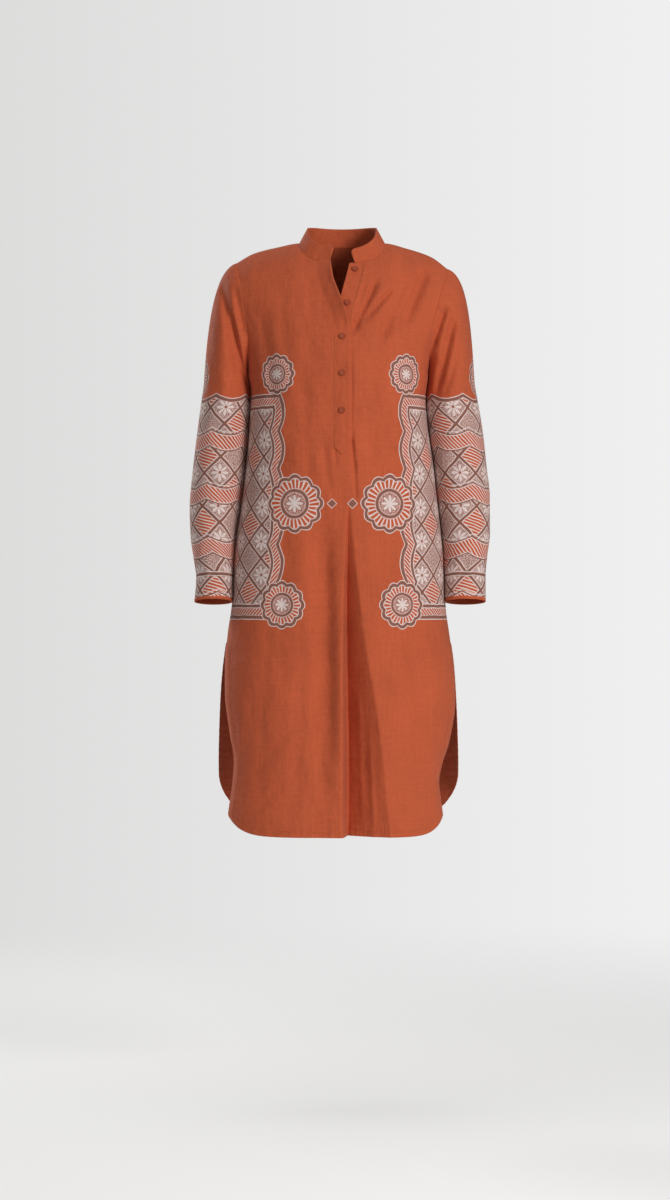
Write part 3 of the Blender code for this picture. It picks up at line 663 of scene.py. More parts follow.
    def neck_angle(self, x: float) -> float:
        """Return the angle round the neckline, from the side of the neck, at x."""
        across = abs(x - self.centre_x) / self.neck_half_width
        return math.acos(across ** (self.neck_squareness / 2))

    def neckline(self, side: Side, angle: np.ndarray) -> tuple[np.ndarray, np.ndarray]:
        """Return x and z of the front neckline on one side, from its angle."""
        power = 2 / self.neck_squareness
        x = self.centre_x + side.value * self.neck_half_width * np.cos(angle) ** power
        return x, -self.neck_drop * np.sin(angle) ** power

    def neck_height(self, x: np.ndarray) -> np.ndarray:
        """Return the height of the front neckline at x."""
        across = np.clip(abs(x - self.centre_x) / self.neck_half_width, 0, 1)
        return -self.neck_drop * (1 - across**self.neck_squareness) ** (1 / self.neck_squareness)

    def slot_edge(self, side: Side, z: np.ndarray) -> np.ndarray:
        """Return the x of the slot's edge on one side, and of the pleat's line below it."""
        return SLOT.read(f"{side.word}_x", z)


def patch(
    top: np.ndarray,
    bottom: np.ndarray,
    start: np.ndarray,
    end: np.ndarray,
    across: np.ndarray,
    down: np.ndarray,
) -> np.ndarray:
    """Fill a patch between four edges.

    Args:
        top: The top edge's points.
        bottom: The bottom edge's points.
        start: The first side edge's points.
        end: The other side edge's points.
        across: The columns' shares of the way across.
        down: The rows' shares of the way down.

    Returns:
        The patch's points, in rows going down.
    """
    u, v = across[None, :, None], down[:, None, None]
    edges = (1 - v) * top[None] + v * bottom[None] + (1 - u) * start[:, None] + u * end[:, None]
    corners = (1 - v) * mix(top[0], top[-1], u) + v * mix(bottom[0], bottom[-1], u)
    return edges - corners


# Meshes


@dataclass
class Cut:
    """A piece of cloth: points in rows going down, and where each lies on the flat cut.

    The columns run left to right as seen from outside. A closed piece has one more column
    on the flat cut than in space.
    """

    points: np.ndarray
    flat: np.ndarray
    closed: bool = False
    keep: np.ndarray | None = None

    def mesh(self, name: str) -> bpy.types.Mesh:
        """Return the cut as a mesh with a map of its flat coordinates, in metres."""
        rows, columns = self.points.shape[:2]
        steps = columns if self.closed else columns - 1
        row, column = (grid.ravel() for grid in np.mgrid[0 : rows - 1, 0:steps])
        if self.keep is not None:
            kept = self.keep.ravel()
            row, column = row[kept], column[kept]
        beside = (column + 1) % columns
        corners = ((row, column), (row + 1, column), (row + 1, beside), (row, beside))
        quads = np.stack([r * columns + c for r, c in corners], axis=1)
        used, quads = np.unique(quads, return_inverse=True)
        mesh = bpy.data.meshes.new(name)
        mesh.from_pydata(self.points.reshape(-1, 3)[used].tolist(), [], quads.reshape(-1, 4).tolist())
        beside = column + 1
        places = ((row, column), (row + 1, column), (row + 1, beside), (row, beside))
        flat = np.stack([self.flat[r, c] for r, c in places], axis=1)
        layer = mesh.uv_layers.new(name="Cut")
        layer.data.foreach_set("uv", flat.astype(np.float32).ravel())
        mesh.shade_smooth()
        return mesh


def run_along(points: np.ndarray, axes: tuple[int, ...]) -> np.ndarray:
    """Return how far along each row its points lie from the first, measured on some axes."""
    steps = np.linalg.norm(np.diff(points[..., axes], axis=1), axis=-1)
    return np.concatenate([np.zeros((len(points), 1)), np.cumsum(steps, axis=1)], axis=1)


def add_piece(
    name: str,
    mesh: bpy.types.Mesh,
    materials: tuple[bpy.types.Material, ...],
) -> bpy.types.Object:
    """Add a mesh to the scene as a piece that rides on the garment's body.

    Args:
        name: The piece's name.
        mesh: Its mesh.
        materials: Its materials, in the order of the mesh's own numbers.

    Returns:
        The new piece.
    """
    piece = bpy.data.objects.new(name, mesh)
    for material in materials:
        mesh.materials.append(material)
    bpy.context.scene.collection.objects.link(piece)
    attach(piece, ROOT_BODY)
    LOG.info("%s: %d faces", name, len(mesh.polygons))
    return piece


def add_cloth(
    name: str,
    cut: Cut,
    wall: float,
    outside: bpy.types.Material,
    inside: bpy.types.Material,
) -> bpy.types.Object:
    """Add a piece of cloth with a wall behind its outer side.

    Args:
        name: The node that the piece stands for.
        cut: The piece's points and flat cut.
        wall: How thick it is.
        outside: The finish of its outer side.
        inside: The finish of its inner side and of its edges.

    Returns:
        The new piece.
    """
    piece = add_piece(f"cloth_{name}", cut.mesh(name), (outside, inside))
    thicken = piece.modifiers.new("Wall", "SOLIDIFY")
    thicken.thickness = wall
    thicken.offset = -1.0
    thicken.material_offset = 1
    thicken.material_offset_rim = 1
    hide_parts(name)
    return piece


class Stitches:
    """Rows of machine stitches, joined in one mesh."""

    length: float = 0.0023
    pitch: float = 0.0031
    half_width: float = 0.00030
    height: float = 0.00028
    sunk: float = 0.00015

    def __init__(self) -> None:
        """Start with no stitch."""
        self.vertices: list[np.ndarray] = []
        self.faces: list[np.ndarray] = []
        self.count = 0

    def row(self, path: np.ndarray, out: np.ndarray) -> None:
        """Lay stitches along a line on the cloth.

        Args:
            path: Points along the line.
            out: The directions out of the cloth at the points.
        """
        reach = np.concatenate([[0], np.cumsum(np.linalg.norm(np.diff(path, axis=0), axis=1))])
        starts = np.arange(self.pitch / 4, reach[-1] - self.length, self.pitch)
        if not len(starts):
            return
        shares = np.array([0.0, 0.22, 0.78, 1.0])
        at = starts[:, None] + self.length * shares
        centre = np.stack([np.interp(at, reach, path[:, i]) for i in range(3)], axis=-1)
        up = np.stack([np.interp(at, reach, out[:, i]) for i in range(3)], axis=-1)
        along = centre[:, -1:] - centre[:, :1]
        beside = np.cross(along, up)
        beside /= np.linalg.norm(beside, axis=-1, keepdims=True)
        ends = centre[:, [0, 3]] - self.sunk * up[:, [0, 3]]
        ring = []
        for aside, rise in ((-1, -0.5), (-0.6, 1), (0.6, 1), (1, -0.5)):
            moved = aside * self.half_width * beside[:, 1:3] + rise * self.height * up[:, 1:3]
            ring.append(centre[:, 1:3] + moved)
        ring = np.stack(ring, axis=2)
        stitch = np.concatenate([ends[:, :1], ring[:, 0], ring[:, 1], ends[:, 1:]], axis=1)
        first = np.arange(len(starts))[:, None, None] * 10 + self.count
        faces = []
        for i in (1, 2, 3):
            faces += [(0, i, i + 1, i + 1), (i, i + 4, i + 5, i + 1), (i + 4, 9, i + 5, i + 5)]
        self.faces.append((first + np.array(faces)).reshape(-1, 4))
        self.vertices.append(stitch.reshape(-1, 3))
        self.count += len(starts) * 10

    def on_body(self, face: Face, x: np.ndarray, z: np.ndarray, lift: float | np.ndarray) -> None:
        """Lay stitches along a line on the front or the back, standing out of it by lift."""
        self.row(BODY.points(face, x, z, lift), BODY.out(face, x, z))

    def build(self, name: str, material: bpy.types.Material) -> bpy.types.Object:
        """Return the stitches as one piece."""
        mesh = bpy.data.meshes.new(name)
        faces = [tuple(dict.fromkeys(face)) for face in np.concatenate(self.faces).tolist()]
        mesh.from_pydata(np.concatenate(self.vertices).tolist(), [], faces)
        mesh.shade_smooth()
        return add_piece(name, mesh, (material,))


# Finishes

Number = "Value | float"


class Value:
    """A number that varies over a surface; maths on it adds Math nodes."""

    def __init__(self, shader: "Shader", socket: bpy.types.NodeSocket) -> None:
        """Keep a socket of a shader."""
        self.shader = shader
        self.socket = socket

    def __add__(self, other: Number) -> "Value":
        """Return self + other."""
        return self.shader.math("ADD", self, other)

    def __sub__(self, other: Number) -> "Value":
        """Return self - other."""
        return self.shader.math("SUBTRACT", self, other)

    def __rsub__(self, other: Number) -> "Value":
        """Return other - self."""
        return self.shader.math("SUBTRACT", other, self)

    def __mul__(self, other: Number) -> "Value":
        """Return self * other."""
        return self.shader.math("MULTIPLY", self, other)

    def __truediv__(self, other: Number) -> "Value":
        """Return self / other."""
        return self.shader.math("DIVIDE", self, other)

    def __mod__(self, other: Number) -> "Value":
        """Return what is left of self past a whole number of others, never below 0."""
        return self.shader.math("FLOORED_MODULO", self, other)

    def __pow__(self, other: Number) -> "Value":
        """Return self to a power."""
        return self.shader.math("POWER", self, other)

    def __abs__(self) -> "Value":
        """Return self without its sign."""
        return self.shader.math("ABSOLUTE", self)

    __radd__ = __add__
    __rmul__ = __mul__

    def least(self, other: Number) -> "Value":
        """Return the lesser of self and other."""
        return self.shader.math("MINIMUM", self, other)

    def most(self, other: Number) -> "Value":
        """Return the greater of self and other."""
        return self.shader.math("MAXIMUM", self, other)

    def sine(self) -> "Value":
        """Return the sine of self."""
        return self.shader.math("SINE", self)

    def cosine(self) -> "Value":
        """Return the cosine of self."""
        return self.shader.math("COSINE", self)

    def whole(self) -> "Value":
        """Return the whole number below self."""
        return self.shader.math("FLOOR", self)

    def over(self, limit: float) -> "Value":
        """Return 1 where self is over a limit, and 0 elsewhere."""
        return self.shader.math("GREATER_THAN", self, limit)

    def inside(self, blur: float = 0.6) -> "Value":
        """Return 1 where self is above 0 and 0 below it, with a blur between them."""
        return self.shader.math("MULTIPLY_ADD", self, 1 / blur, 0.5, clamp=True)

    def towards(self, other: Number, share: Number) -> "Value":
        """Return the value a share of the way from self to other."""
        return self + (other - self) * share


Colour = tuple[float, float, float, float]


class Shader:
    """A material under a Principled shader, and the ways to add nodes to it."""

    def __init__(self, name: str) -> None:
        """Start a material with its shader."""
        self.material = bpy.data.materials.new(name)
        self.material.use_nodes = True
        self.tree = self.material.node_tree
        self.surface = self.tree.nodes["Principled BSDF"]

    def node(self, kind: str, settings: dict[str, object], inputs: dict[str | int, object]) -> bpy.types.Node:
        """Add a node.

        Args:
            kind: The node's type.
            settings: The node's own settings.
            inputs: The values or links of its sockets, by name or number.

        Returns:
            The new node.
        """
        made = self.tree.nodes.new(kind)
        for name, value in settings.items():
            setattr(made, name, value)
        for name, value in inputs.items():
            source = value.socket if isinstance(value, Value) else value
            if isinstance(source, bpy.types.NodeSocket):
                self.tree.links.new(source, made.inputs[name])
            else:
                made.inputs[name].default_value = source
        return made

    def math(self, operation: str, *inputs: Number, clamp: bool = False) -> Value:
        """Return the result of a Math node."""
        settings = {"operation": operation, "use_clamp": clamp}
        return Value(self, self.node("ShaderNodeMath", settings, dict(enumerate(inputs))).outputs[0])

    def cut_place(self) -> tuple[Value, Value]:
        """Return where the surface lies on the flat cut, in millimetres."""
        uv = self.node("ShaderNodeUVMap", {"uv_map": "Cut"}, {})
        parts = self.node("ShaderNodeSeparateXYZ", {}, {0: uv.outputs[0]})
        return Value(self, parts.outputs[0]) * 1000, Value(self, parts.outputs[1]) * 1000

    def own_place(self) -> bpy.types.NodeSocket:
        """Return where the surface lies in its object's own frame."""
        return self.node("ShaderNodeTexCoord", {}, {}).outputs["Object"]

    def own_axes(self) -> tuple[Value, Value]:
        """Return the x and y of the surface in its object's own frame."""
        parts = self.node("ShaderNodeSeparateXYZ", {}, {0: self.own_place()})
        return Value(self, parts.outputs[0]), Value(self, parts.outputs[1])

    def noise(self, x: Number, y: Number, size_x: float, size_y: float, detail: float = 2.0) -> Value:
        """Return a noise of a given size in millimetres each way, from 0 to 1."""
        place = self.node("ShaderNodeCombineXYZ", {}, {0: x / size_x, 1: y / size_y})
        inputs = {"Vector": place.outputs[0], "Scale": 1.0, "Detail": detail}
        made = self.node("ShaderNodeTexNoise", {}, inputs)
        return Value(self, made.outputs[0])

    def blend(self, share: Number, first: object, second: object) -> bpy.types.NodeSocket:
        """Return a mix of two colours."""
        made = self.node("ShaderNodeMix", {"data_type": "RGBA"}, {0: share, 6: first, 7: second})
        return made.outputs[2]

    def scaled(self, colour: object, by: Value) -> bpy.types.NodeSocket:
        """Return a colour made lighter or darker by a value."""
        grey = self.node("ShaderNodeCombineXYZ", {}, {0: by, 1: by, 2: by})
        source = colour[:3] if isinstance(colour, tuple) else colour
        made = self.node("ShaderNodeVectorMath", {"operation": "MULTIPLY"}, {0: source, 1: grey.outputs[0]})
        return made.outputs[0]

    def set(self, **sockets: object) -> None:
        """Set sockets of the Principled shader to values or links, with _ for each space."""
        for name, value in sockets.items():
            socket = self.surface.inputs[name.replace("_", " ")]
            source = value.socket if isinstance(value, Value) else value
            if isinstance(source, bpy.types.NodeSocket):
                self.tree.links.new(source, socket)
            else:
                socket.default_value = source


@dataclass(frozen=True)
class Marks:
    """What is printed at a place: how much of the dark ink and of the pale ink."""

    dark: Value
    pale: Value

    def under(self, top: "Marks", share: Value) -> "Marks":
        """Return these marks with others on top of them over a share of the surface."""
        return Marks(self.dark.towards(top.dark, share), self.pale.towards(top.pale, share))


@dataclass(frozen=True)
class BlockPrint:
    """A two-ink block print of scalloped borders, round rosettes and a diamond trellis.

    All sizes are millimetres on the flat cut.
    """

    line: float = 0.75
    band: float = 5.6
    strip: float = 15.0
    scallop_pitch: float = 63.0
    scallop_depth: float = 9.0
    panel_edge: float = 106.0
    panel_top: float = -262.0
    panel_bottom: float = -640.0
    cell: float = 40.0
    rib: float = 2.3
    hatch_pitch: float = 5.4
    waver: float = 2.6
    rosette_lobes: int = 12
    sleeve_top: float = -258.0
    row_pitch: float = 92.0
    row_trellis: float = 62.0
    cuff_line: float = -567.0
    cuff_bare: float = -605.0
    high_rosette: tuple[float, float, float] = (114.0, -230.0, 35.0)
    middle_rosette: tuple[float, float, float] = (80.0, -447.0, 50.0)
    low_rosette: tuple[float, float, float] = (102.0, -615.0, 41.0)
    high_from: float = -335.0
    low_from: float = -545.0
    bud_x: float = 17.0
    bud_size: float = 9.0
    sleeve_rosette_y: float = -232.0
    sleeve_rosette_radius: float = 40.0

    def border(self, depth: Value) -> Marks:
        """Return a dark band between two pale lines, by the depth inside an outline."""
        outer = (self.line - abs(depth - self.line)).inside()
        dark = (self.band / 2 - abs(depth - (2 * self.line + self.band / 2))).inside()
        inner = (self.line - abs(depth - (3 * self.line + self.band))).inside()
        return Marks(dark, outer.most(inner))

    def ribbed(self, field: Marks, away: Value, shown: Number = 1.0) -> Marks:
        """Return a field crossed by a dark rib with a pale line on each side of it.

        Args:
            field: The marks under the rib.
            away: How far the place lies from the rib's middle.
            shown: Where the rib itself shows.

        Returns:
            The field with the rib on it.
        """
        rib = (self.rib - away).inside() * shown
        rib_line = (self.line - abs(away - self.rib - self.line)).inside()
        return Marks(field.dark.most(rib), field.pale.towards(0.0, rib).most(rib_line))

    def hatching(self, run: Value) -> Marks:
        """Return slanting pale lines by how far the place lies across them."""
        wave = (run * (2 * math.pi / self.hatch_pitch)).cosine()
        return Marks(wave * 0, (wave - 0.45).inside(0.6))

    def stipple(self, shader: Shader, x: Value, y: Value) -> Value:
        """Return fine pale specks, as dense as a block leaves them."""
        return (shader.noise(x, y, 1.5, 1.5, 1.0) - 0.53).inside(0.16)

    def trellis(self, shader: Shader, x: Value, y: Value) -> Marks:
        """Return a diamond trellis with flowers, hatching and specks in its cells.

        Args:
            shader: The shader that is built.
            x: The place's x on the cut.
            y: The place's y on the cut.

        Returns:
            The trellis's marks.
        """
        side = self.cell * math.sqrt(2)
        along, across = (x + y) / side, (x - y) / side
        in_along, in_across = along % 1 - 0.5, across % 1 - 0.5
        rim = (0.5 - abs(in_along).most(abs(in_across))) * self.cell
        radius = (in_along * in_along + in_across * in_across) ** 0.5 * self.cell
        angle = shader.math("ARCTAN2", in_along, in_across)
        petal = abs((angle * 4).cosine()) * 11.5 + 5.0
        in_flower = (petal - radius).inside()
        outline = (0.9 - abs(petal - radius)).inside()
        vein = ((angle * 8).cosine() * -1 - 0.80).inside(0.5)
        heart = (2.4 - radius).inside()
        specks = self.stipple(shader, x, y)
        flower = Marks(
            in_flower * (outline + vein * 0.8).least(1.0) + heart * 0.7,
            (in_flower * (1 - outline) * (1 - vein) * (1 - heart)).most((1 - in_flower) * specks),
        )
        odd = ((along.whole() + across.whole()) % 2).over(0.5)
        other = (along.whole() % 2).over(0.5)
        hatch = self.hatching(y + x * 0.3)
        plain = Marks(specks * 0 + 0.80, specks)
        ground = hatch.under(plain, other)
        inner = flower.under(ground, odd)
        inner = Marks(inner.dark.most((1 - odd) * (1 - in_flower) * 0.80), inner.pale)
        return self.ribbed(inner, rim)

    def rosette(self, shader: Shader, x: Value, y: Value, radius: Number) -> tuple[Marks, Value]:
        """Return a round rosette's marks, and how deep inside it the place lies.

        Args:
            shader: The shader that is built.
            x: How far to the side of the middle the place lies.
            y: How far above the middle it lies.
            radius: The rosette's radius.

        Returns:
            The marks, and the depth inside the rosette's outline.
        """
        away = (x * x + y * y) ** 0.5
        angle = shader.math("ARCTAN2", y, x)
        lobes = abs((angle * (self.rosette_lobes / 2)).cosine())
        depth = (lobes * 0.10 + 0.90) * radius - away
        share = away / radius
        ring = (0.055 - abs(share - 0.44)).inside(0.03)
        ring_line = (0.075 - abs(share - 0.44)).inside(0.03)
        rays = ((angle * 30 + share * 3.0).cosine() - 0.40).inside(0.7)
        centre = (0.38 - share).inside(0.03)
        petals = abs((angle * 4).cosine()) * 0.22 + 0.10
        flower = (petals - share).inside(0.03)
        flower_rim = (0.022 - abs(petals - share)).inside(0.02)
        border = self.border(depth)
        in_border = (3 * self.line + self.band + 1 - depth).inside()
        pale = rays.towards(flower.most(self.stipple(shader, x, y) * 0.8) * (1 - flower_rim), centre)
        pale = pale.most(ring_line) * (1 - ring)
        dark = ring.most(centre * (1 - flower) * 0.5).most(flower_rim * centre)
        marks = Marks(dark, pale).under(border, in_border)
        return marks, depth

    def bordered(self, field: Marks, x: Value, y: Value, depth: Value) -> Marks:
        """Return a field with a border and a hatched strip round it, and nothing outside.

        Args:
            field: The marks inside.
            x: The place's x on the cut.
            y: The place's y on the cut.
            depth: How far inside the outline the place lies.

        Returns:
            The bordered marks.
        """
        strip_start = 3 * self.line + self.band
        strip_end = strip_start + self.strip
        rib_depth = depth - strip_end
        hatch = self.hatching((x + y) * 0.8)
        marks = self.ribbed(hatch.under(field, rib_depth.inside()), abs(rib_depth))
        border = self.border(depth)
        marks = marks.under(border, (strip_start - depth).inside())
        shown = depth.inside()
        return Marks(marks.dark * shown, marks.pale * shown)

    def on_body(self, shader: Shader, x: Value, y: Value) -> Marks:
        """Return the print of the body: a panel up each side, with three rosettes on it.

        Args:
            shader: The shader that is built.
            x: The place's x on the cut.
            y: The place's y on the cut.

        Returns:
            The body's marks.
        """
        x = abs(x)
        scallops = abs(((y - self.panel_top) * (math.pi / self.scallop_pitch)).sine())
        from_edge = x - self.panel_edge + scallops * self.scallop_depth
        depth = from_edge.least(self.panel_top - y).least(y - self.panel_bottom)
        marks = self.bordered(self.trellis(shader, x, y), x, y, depth)
        high, low = y.over(self.high_from), 1 - y.over(self.low_from)
        sizes = zip(self.high_rosette, self.middle_rosette, self.low_rosette)
        centre_x, centre_y, radius = (
            middle + high * (upper - middle) + low * (lower - middle) for upper, middle, lower in sizes
        )
        rosette, inside = self.rosette(shader, x - centre_x, y - centre_y, radius)
        marks = marks.under(rosette, inside.inside())
        bud = self.bud_size - abs(x - self.bud_x) - abs(y - self.middle_rosette[1])
        bud_marks = Marks((bud - 2.2).inside(), bud.inside() - (bud - 1.4).inside())
        return marks.under(bud_marks, bud.inside())

    def on_sleeve(self, shader: Shader, x: Value, y: Value) -> Marks:
        """Return the print of a sleeve: rows of trellis and hatching below a rosette.

        Args:
            shader: The shader that is built.
            x: The place's x on the cut.
            y: The place's y on the cut.

        Returns:
            The sleeve's marks.
        """
        scallops = abs((x * (math.pi / self.scallop_pitch)).sine())
        depth = self.sleeve_top - y - scallops * self.scallop_depth
        phase = depth % self.row_pitch
        in_trellis = (self.row_trellis - phase).inside()
        from_rows = (phase - self.row_trellis).least(self.row_pitch - phase)
        rib = (self.rib - from_rows.most(0.0)).inside() * (1 - in_trellis)
        rib_line = (self.line - abs(abs(from_rows) - self.rib - self.line)).inside()
        field = self.hatching((x + y) * 0.8).under(self.trellis(shader, x, y), in_trellis)
        field = Marks(field.dark.most(rib), field.pale.towards(0.0, rib).most(rib_line))
        border = self.border(depth)
        marks = field.under(border, (3 * self.line + self.band - depth).inside())
        marks = self.ribbed(marks, abs(y - self.cuff_line))
        shown = depth.inside() * (y - self.cuff_bare).inside()
        marks = Marks(marks.dark * shown, marks.pale * shown)
        rosette, inside = self.rosette(shader, x, y - self.sleeve_rosette_y, self.sleeve_rosette_radius)
        return marks.under(rosette, inside.inside())

    def marks(self, shader: Shader, where: Print, x: Value, y: Value) -> Marks:
        """Return the print's marks on the body or a sleeve, drawn with a slight waver."""
        sway = (shader.noise(x, y, 16.0, 16.0, 1.0) - 0.5) * self.waver
        sway_too = (shader.noise(x + 400.0, y, 16.0, 16.0, 1.0) - 0.5) * self.waver
        draw = self.on_body if where is Print.BODY else self.on_sleeve
        return draw(shader, x + sway, y + sway_too)


@dataclass(frozen=True)
class Linen:
    """Rust linen in a plain weave with slubs, bare or with a block print."""

    colour: Colour = (0.50, 0.092, 0.033, 1.0)
    dark_ink: Colour = (0.225, 0.098, 0.072, 1.0)
    pale_ink: Colour = (0.74, 0.62, 0.58, 1.0)
    thread: float = 0.62
    slub_long: float = 34.0
    slub_thick: float = 0.9
    sheen: float = 0.10

    def finish(self, name: str, where: Print, shade: float = 1.0) -> bpy.types.Material:
        """Return the linen's material.

        Args:
            name: The material's name.
            where: Where on the garment its print lies, if it has one.
            shade: How light it is next to the rest of the linen; below 1 it is painted shade, darker than the
                cloth's own colour.

        Returns:
            The material.
        """
        shader = Shader(name)
        x, y = shader.cut_place()
        warp = shader.noise(x, y, self.slub_thick, self.slub_long, 2.0)
        weft = shader.noise(x + 90.0, y, self.slub_long, self.slub_thick, 2.0)
        cloud = shader.noise(x, y, 70.0, 90.0, 3.0)
        slubs = warp * 0.5 + weft * 0.5
        upright = shader.noise(x + 31.0, y, 3.2, 70.0, 3.0) * 0.5
        streaks = upright + shader.noise(x, y + 17.0, 60.0, 2.8, 3.0) * 0.5
        mottle = shader.noise(x, y, 5.0, 6.5, 4.0)
        tone = (slubs * 0.40 + streaks * 0.40 + mottle * 0.22 + cloud * 0.26 + (1.0 - 0.64)) * shade
        colour = shader.scaled(self.colour, tone)
        if where is not Print.PLAIN:
            marks = BlockPrint().marks(shader, where, x, y)
            worn = (shader.noise(x, y, 1.1, 1.1, 1.0) - 0.30).inside(0.25)
            dark = shader.scaled(self.dark_ink, slubs * 0.4 + 0.8)
            colour = shader.blend(marks.dark * (slubs * 0.4 + 0.74).least(1.0), colour, dark)
            colour = shader.blend(marks.pale * (worn * 0.42 + 0.56), colour, self.pale_ink)
        turns = 2 * math.pi / self.thread
        weave = (x * turns).sine() * (y * turns).sine() * 0.5
        crumple = abs(shader.noise(x, y, 34.0, 44.0, 2.0) - 0.5) * 46.0
        rumple = shader.noise(x + 60.0, y, 11.0, 15.0, 3.0) * 12.0
        height = weave + slubs * 1.6 + streaks * 1.6 + crumple + rumple
        bump = shader.node("ShaderNodeBump", {}, {"Height": height, "Distance": 0.10 * MM, "Strength": 0.9})
        shader.set(
            Base_Color=colour,
            Roughness=slubs * 0.2 + 0.72,
            Normal=bump.outputs[0],
            Sheen_Weight=self.sheen,
            Sheen_Roughness=0.45,
            Sheen_Tint=(1.0, 0.72, 0.58, 1.0),
            Specular_IOR_Level=0.25,
        )
        shader.material.diffuse_color = self.colour
        return shader.material


@dataclass(frozen=True)
class ButtonFinish:
    """Dyed shell or resin in the linen's colour, with a low polish."""

    colour: Colour = (0.30, 0.052, 0.018, 1.0)

    def finish(self, name: str) -> bpy.types.Material:
        """Return the buttons' material."""
        shader = Shader(name)
        look = {"Vector": shader.own_place(), "Scale": 260.0, "Detail": 3.0, "Distortion": 1.5}
        swirl = shader.node("ShaderNodeTexNoise", {}, look)
        tone = Value(shader, swirl.outputs[0]) * 0.5 + 0.78
        shader.set(
            Base_Color=shader.scaled(self.colour, tone),
            Roughness=tone * 0.2 + 0.42,
            Specular_IOR_Level=0.3,
        )
        shader.material.diffuse_color = self.colour
        return shader.material


@dataclass(frozen=True)
class Finishes:
    """Every material of the garment."""

    plain: bpy.types.Material
    inside: bpy.types.Material
    body: bpy.types.Material
    sleeve: bpy.types.Material
    thread: bpy.types.Material
    button: bpy.types.Material

    @classmethod
    def make(cls) -> "Finishes":
        """Return the finishes, each made once."""
        linen = Linen()
        return cls(
            plain=linen.finish("linen_plain", Print.PLAIN),
            # The inner side is the plain linen painted darker by 0.86, as painted shade inside the garment.
            inside=linen.finish("linen_inside_painted_shade", Print.PLAIN, 0.86),
            body=linen.finish("linen_printed_body", Print.BODY),
            sleeve=linen.finish("linen_printed_sleeve", Print.SLEEVE),
            thread=Linen(colour=(0.56, 0.15, 0.06, 1.0), thread=0.3).finish("sewing_thread", Print.PLAIN),
            button=ButtonFinish().finish("dyed_button"),
        )


# Pieces of the garment


@dataclass(frozen=True)
class Cloth:
    """The thicknesses that every piece shares."""

    wall: float = 0.0012
    collar_wall: float = 0.0018
    seam_gap: float = 0.0006
    laid_on_gap: float = 0.0004

    turned_rise: float = 0.0011
    turned_width: float = 0.0095
    turned_step: float = 0.0022
    groove: float = 0.0011
    groove_width: float = 0.0016
    pucker: float = 0.00050
    pucker_pitch: float = 0.0085
    pucker_sway: float = 2.1
    pucker_sway_rate: float = 170.0

    def turned(self, distance: np.ndarray, run: np.ndarray) -> np.ndarray:
        """Return how far a turned and stitched edge stands out, with its small puckers.

        Args:
            distance: How far in from the edge a point lies.
            run: How far along the edge it lies.

        Returns:
            The rise of the outer side.
        """
        doubled = 1 - soft_step((distance - self.turned_width) / self.turned_step)
        sway = self.pucker_sway * np.sin(run * self.pucker_sway_rate)
        wave = np.sin(2 * math.pi * run / self.pucker_pitch + sway)
        near_seam = np.exp(-(((distance - self.turned_width) / self.turned_width) ** 2))
        groove = self.groove * np.exp(-(((distance - self.turned_width) / self.groove_width) ** 2))
        return self.turned_rise * doubled + self.pucker * wave * near_seam - groove

    @property
    def on_top(self) -> float:
        """Return how far the outer side of a laid-on piece stands out of the cloth below."""
        return self.wall + self.laid_on_gap


@dataclass(frozen=True)
class BodyRows:
    """The rows of the two body panels, from the shoulders to the hems."""

    yoke_base: float = -0.240
    slot_end: float = -0.330
    slit_top: float = -0.670
    neck_share: float = 0.62
    neck_flow: float = 0.030
    yoke: int = 76
    yoke_power: float = 1.6
    slot: int = 28
    waist: int = 104
    tail: int = 96
    tail_power: float = 1.3

    def yoke_drops(self) -> np.ndarray:
        """Return how the rows from the shoulder to the yoke's base share out its height."""
        return np.linspace(0, 1, self.yoke + 1) ** self.yoke_power

    def flow(self) -> np.ndarray:
        """Return how far each yoke row bends outwards where it passes the neck's side."""
        return self.neck_flow * np.sin(math.pi * np.sqrt(self.yoke_drops()))

    def bend_out(self, yoke: np.ndarray, weight: np.ndarray) -> None:
        """Bend the yoke's rows outwards past the neck's side, and down as the shoulder falls.

        Args:
            yoke: The yoke's x and z, in rows going down, which are changed.
            weight: How much each column bends, with its direction.
        """
        shoulder = RIDGE.read("height", yoke[..., 0])
        yoke[..., 0] += self.flow()[:, None] * weight
        fall = RIDGE.read("height", yoke[..., 0]) - shoulder
        yoke[..., 1] += fall * (1 - self.yoke_drops()[:, None])

    def below(self, hem_z: np.ndarray) -> np.ndarray:
        """Return the heights of the rows below the yoke's base, down to a curved hem."""
        slot = np.linspace(self.yoke_base, self.slot_end, self.slot + 1)[1:]
        waist = np.linspace(self.slot_end, self.slit_top, self.waist + 1)[1:]
        upper = np.concatenate([slot, waist])[:, None] + 0 * hem_z
        share = 1 - (1 - np.linspace(0, 1, self.tail + 1)[1:, None]) ** self.tail_power
        return np.concatenate([upper, mix(self.slit_top, hem_z[None], share)])


BODY = BodyForm()
CLOTH = Cloth()
ROWS = BodyRows()
FAR_FROM_EDGE = 1.0


def edge_shares(steps: int) -> np.ndarray:
    """Return the shares of the way in from an edge, dense at the edge."""
    return 1 - np.cos(np.linspace(0, math.pi / 2, steps + 1))


def edge_lift(x: np.ndarray, z: np.ndarray) -> np.ndarray:
    """Return how far a body panel's turned edges stand out, at its rows of points.

    Args:
        x: The points' x, in rows going down to the hem.
        z: The points' z.

    Returns:
        The rise at each point.
    """
    up_from_hem = z - z[-1:]
    side_in = np.minimum(abs(x - x[:, :1]), abs(x - x[:, -1:]))
    in_slit = soft_step((ROWS.slit_top - z) / CLOTH.turned_width)
    side_in = side_in + (1 - in_slit) * FAR_FROM_EDGE
    nearer_hem = up_from_hem < side_in
    run = np.where(nearer_hem, x, z)
    return CLOTH.turned(np.minimum(up_from_hem, side_in), run)


